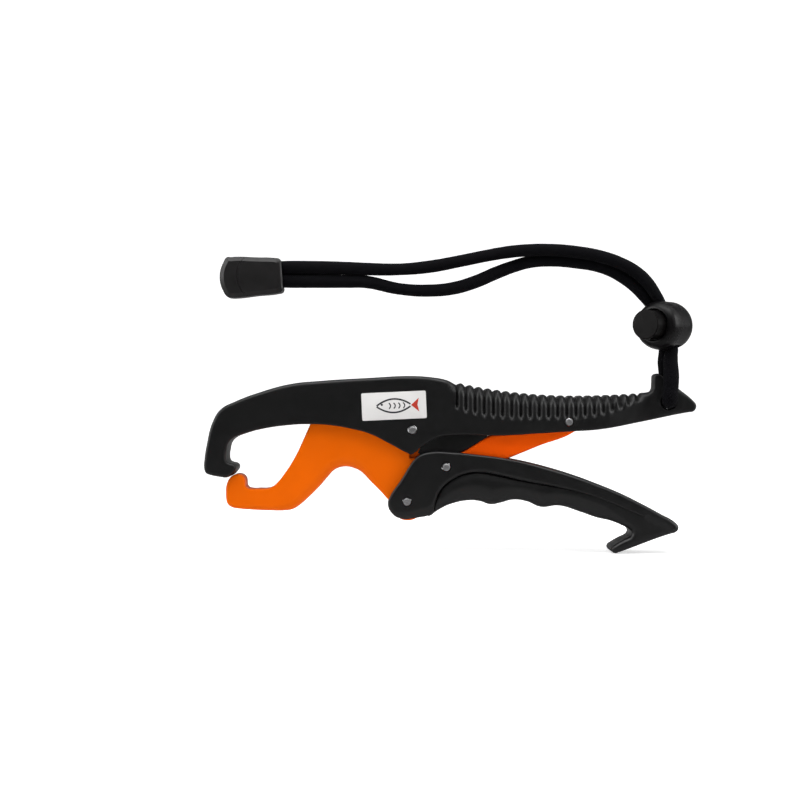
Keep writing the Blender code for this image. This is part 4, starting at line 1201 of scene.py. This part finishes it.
def build_end_cap():
    """The tray that takes the two cord ends, and the cover let into its front."""
    def whole(name):
        return relief(name, cap_knots(), CAP_HALF, spacing=0.6, fill=1.2, profile=chamfer_profile)

    def room(name, gap):
        half = 3.0
        knots = cover_room_knots(COVER_ROUND + COVER_GAP - gap)
        return prism(name, knots, half, -COVER_SEAT - gap - half, 0.6)

    tray = whole("cap_tray")
    carve(tray, room("room", 0.0))
    pocket = (30.0, 2 * (1.05 * CORD_RADIUS + 0.08), 13.6)
    carve(tray, block("pocket", pocket, (-70.0, 0.0, 76.6)))
    piece(tray, CAP_BLACK, "lanyard", ["end_cap"], sharp=25.0)
    cover = whole("cap_cover")
    carve(cover, room("keep", COVER_GAP), "INTERSECT")
    piece(cover, CAP_BLACK, "lanyard", ["end_cap_cover"], sharp=25.0)


def lock_place(along):
    return LOCK_CENTRE + LOCK_AXIS * along


def lock_block(name, size, place):
    """A cutting block; its size is along the lock's axis, across the strands and along them."""
    turn = Matrix((LOCK_AXIS, LINE.cross(LOCK_AXIS).normalized(), LINE)).transposed().to_4x4()
    return block(name, size, place, turn)


def lock_rod(name, front, back, radius):
    """A cylinder on the lock's axis, between two distances from its centre."""
    half = (back - front) / 2
    return rod(name, lock_place(front + half), LOCK_AXIS, radius, half, 64)


def build_cord_lock():
    """A barrel with a round back, a soft shoulder and a plunger in its open front."""
    middle = line_at(LOCK_CENTRE.z)
    profile = [(0.0, -LOCK_FRONT), (8.4, -LOCK_FRONT), (9.1, -13.7), (9.7, -13.35), (10.4, -12.7)]
    profile += [(11.1, -11.5), (11.6, -10.0), (11.88, -8.5), (12.0, -6.8), (12.0, -3.4)]
    quarter = np.linspace(0.0, math.pi / 2, 19)
    profile += [(LOCK_RADIUS * math.cos(a), LOCK_RADIUS * math.sin(a)) for a in quarter]
    profile[-1] = (0.0, LOCK_RADIUS)
    barrel = turned("lock_barrel", profile, LOCK_CENTRE, LOCK_AXIS, 72)
    carve(barrel, lock_rod("mouth", -LOCK_MOUTH - 12.0, -LOCK_MOUTH, MOUTH_RADIUS))
    carve(barrel, lock_rod("bore", -13.0, 9.0, BORE_RADIUS))
    carve(barrel, lock_block("slot", (6.0, 11.3, 44.0), middle))
    for reach in (11.7, -11.7):
        carve(barrel, lock_block("cord_mouth", (8.6, 13.8, 3.6), middle + LINE * reach))
    softened(barrel, 0.22, 4)
    piece(barrel, LOCK_BLACK, "cord_lock", ["cord_lock_body"], sharp=0.0)

    button = lock_rod("lock_button_moulding", -BUTTON_OUT, -BUTTON_OUT + 8.7, BUTTON_RADIUS)
    carve(button, lock_rod("stem", STEM_BACK - 18.0, STEM_BACK, STEM_RADIUS), "UNION")
    carve(button, lock_block("slot", (8.0, 11.3, 44.0), middle - LOCK_AXIS))
    softened(button, 0.2, 5)
    piece(button, BUTTON_BLACK, "lock_button", ["cord_lock_button"], sharp=0.0)


def build_lock_spring():
    """The plunger's compression spring."""
    low, high, turns = 5.05, 8.35, 2.5
    rows = []
    for share in np.linspace(0.0, 1.0, 76):
        angle = share * turns * 2 * math.pi
        across = LOCK_SIDE * math.cos(angle) + Vector((0.0, 0.0, 1.0)) * math.sin(angle)
        rows.append((lock_place(low + share * (high - low)) + across * SPRING_RADIUS, SPRING_WIRE))
    spring = tube("lock_spring_wire", rows, 10)
    ends = [in_frame(lock_place(along)) for along in (high, low)]
    bridging(spring, SPRING_STEEL, ("cord_lock", "lock_button"), "cord_lock_spring", *ends)


# ---------------------------------------------------------------- stage, light and camera

# In metres, apart from the lens.
CAMERA_DISTANCE = 0.740
CAMERA_BESIDE = -0.00608
CAMERA_ABOVE = 0.01458
CAMERA_LENS = 68.5
FLOOR_GAP = 0.0003
SWEEP_BEND = 0.5
SWEEP_BACK = 0.9
SWEEP_HALF = 3.5
SWEEP_REACH = 3.0
WHITE = (1.0, 1.0, 1.0, 1.0)


def build_stage():
    """A pale sweep: floor, curve and backdrop in one sheet."""
    floor = CAD_BOX[0].z - FLOOR_GAP
    profile = [(-SWEEP_REACH, floor), (SWEEP_BACK, floor)]
    for step in range(1, 25):
        angle = math.radians(90.0 * step / 24)
        rise = SWEEP_BEND * (1 - math.cos(angle))
        profile.append((SWEEP_BACK + SWEEP_BEND * math.sin(angle), floor + rise))
    profile.append((SWEEP_BACK + SWEEP_BEND, SWEEP_REACH))
    verts = [(x, y, z) for x in (-SWEEP_HALF, SWEEP_HALF) for y, z in profile]
    count = len(profile)
    sweep = from_faces("sweep", verts, [(i, i + 1, i + 1 + count, i + count) for i in range(count - 1)])
    sweep.data.shade_smooth()
    sweep.data.materials.append(sweep_paper())


def sweep_paper():
    """Pale paper that lights up for the camera and looks dark in what the pieces mirror from the front."""
    nodes, shader = shader_of("sweep_paper", Roughness=0.9, Specular_IOR_Level=0.1, Emission_Color=WHITE)
    tint = nodes.ramp(nodes.noise(6.0, 2.0), (0.90, 0.90, 0.90), (0.92, 0.92, 0.92))
    nodes.join(tint, shader.inputs["Base Color"])
    path = nodes.add("LightPath")
    nodes.join(nodes.spread(path.outputs["Is Camera Ray"], 0.0, 0.6), shader.inputs["Emission Strength"])
    dark = nodes.add("BsdfDiffuse", Color=(0.03, 0.03, 0.03, 1.0))
    depth = nodes.axes(nodes.add("NewGeometry").outputs["Position"])["Y"]
    hidden = nodes.spread(depth, 0.95, 0.6, at=(-0.20, -0.06))
    mix = nodes.add("MixShader")
    nodes.join(nodes.math("MULTIPLY", hidden, path.outputs["Is Glossy Ray"]), mix.inputs["Fac"])
    nodes.join(shader.outputs["BSDF"], mix.inputs[1])
    nodes.join(dark.outputs["BSDF"], mix.inputs[2])
    nodes.join(mix.outputs["Shader"], nodes.tree.nodes["Material Output"].inputs["Surface"])
    return nodes.owner


def area_light(name, place, size, power):
    """A soft box that points at the grip."""
    data = bpy.data.lights.new(name, "AREA")
    data.shape = "RECTANGLE"
    data.size, data.size_y = size
    data.energy = power
    light = new_object(name, data)
    light.location = place
    light.rotation_euler = (-Vector(place)).to_track_quat("-Z", "Y").to_euler()


def build_light():
    """A white tent with a dark opening on the camera's side, so that only the edges catch the light."""
    nodes = Nodes(bpy.data.worlds.new("tent"))
    bpy.context.scene.world = nodes.owner
    toward = nodes.axes(nodes.add("TexCoord").outputs["Generated"])["Y"]
    strength = nodes.spread(toward, 0.05, 1.0, at=(-0.72, 0.0))
    seen = nodes.math("MAXIMUM", strength, nodes.add("LightPath").outputs["Is Camera Ray"])
    background = nodes.tree.nodes["Background"]
    background.inputs["Color"].default_value = WHITE
    nodes.join(seen, background.inputs["Strength"])
    area_light("overhead", (0.0, -0.35, 0.9), (1.2, 0.5), 6.0)
    area_light("glint", (0.0, -0.7, 0.75), (1.4, 0.1), 1.2)
    area_light("left_box", (-0.9, -0.25, 0.3), (0.4, 0.6), 2.5)
    area_light("right_box", (0.9, -0.25, 0.3), (0.4, 0.6), 2.5)


def build_camera():
    """At the grip's own height, looking straight at the labelled side."""
    data = bpy.data.cameras.new("camera")
    data.lens = CAMERA_LENS
    data.sensor_width = 36.0
    camera = new_object("camera", data)
    near_face = JAW_PIVOT.y - BODY_HALF * MM
    camera.location = (JAW_PIVOT.x + CAMERA_BESIDE, near_face - CAMERA_DISTANCE, JAW_PIVOT.z + CAMERA_ABOVE)
    camera.rotation_euler = (math.pi / 2, 0.0, 0.0)
    data.clip_start = 0.01
    data.clip_end = 20.0
    bpy.context.scene.camera = camera


build_body()
build_label()
build_fish()
build_jaw()
build_handle()
build_link()
build_pin("jaw_pin", "body")
build_pin("link_rear_pin", "body")
build_pin("handle_pin", "squeeze_handle")
build_pin("link_front_pin", "squeeze_handle")
build_return_spring()
build_cord()
build_end_cap()
build_cord_lock()
build_lock_spring()
build_stage()
build_light()
build_camera()
bpy.context.scene.view_settings.view_transform = "Standard"
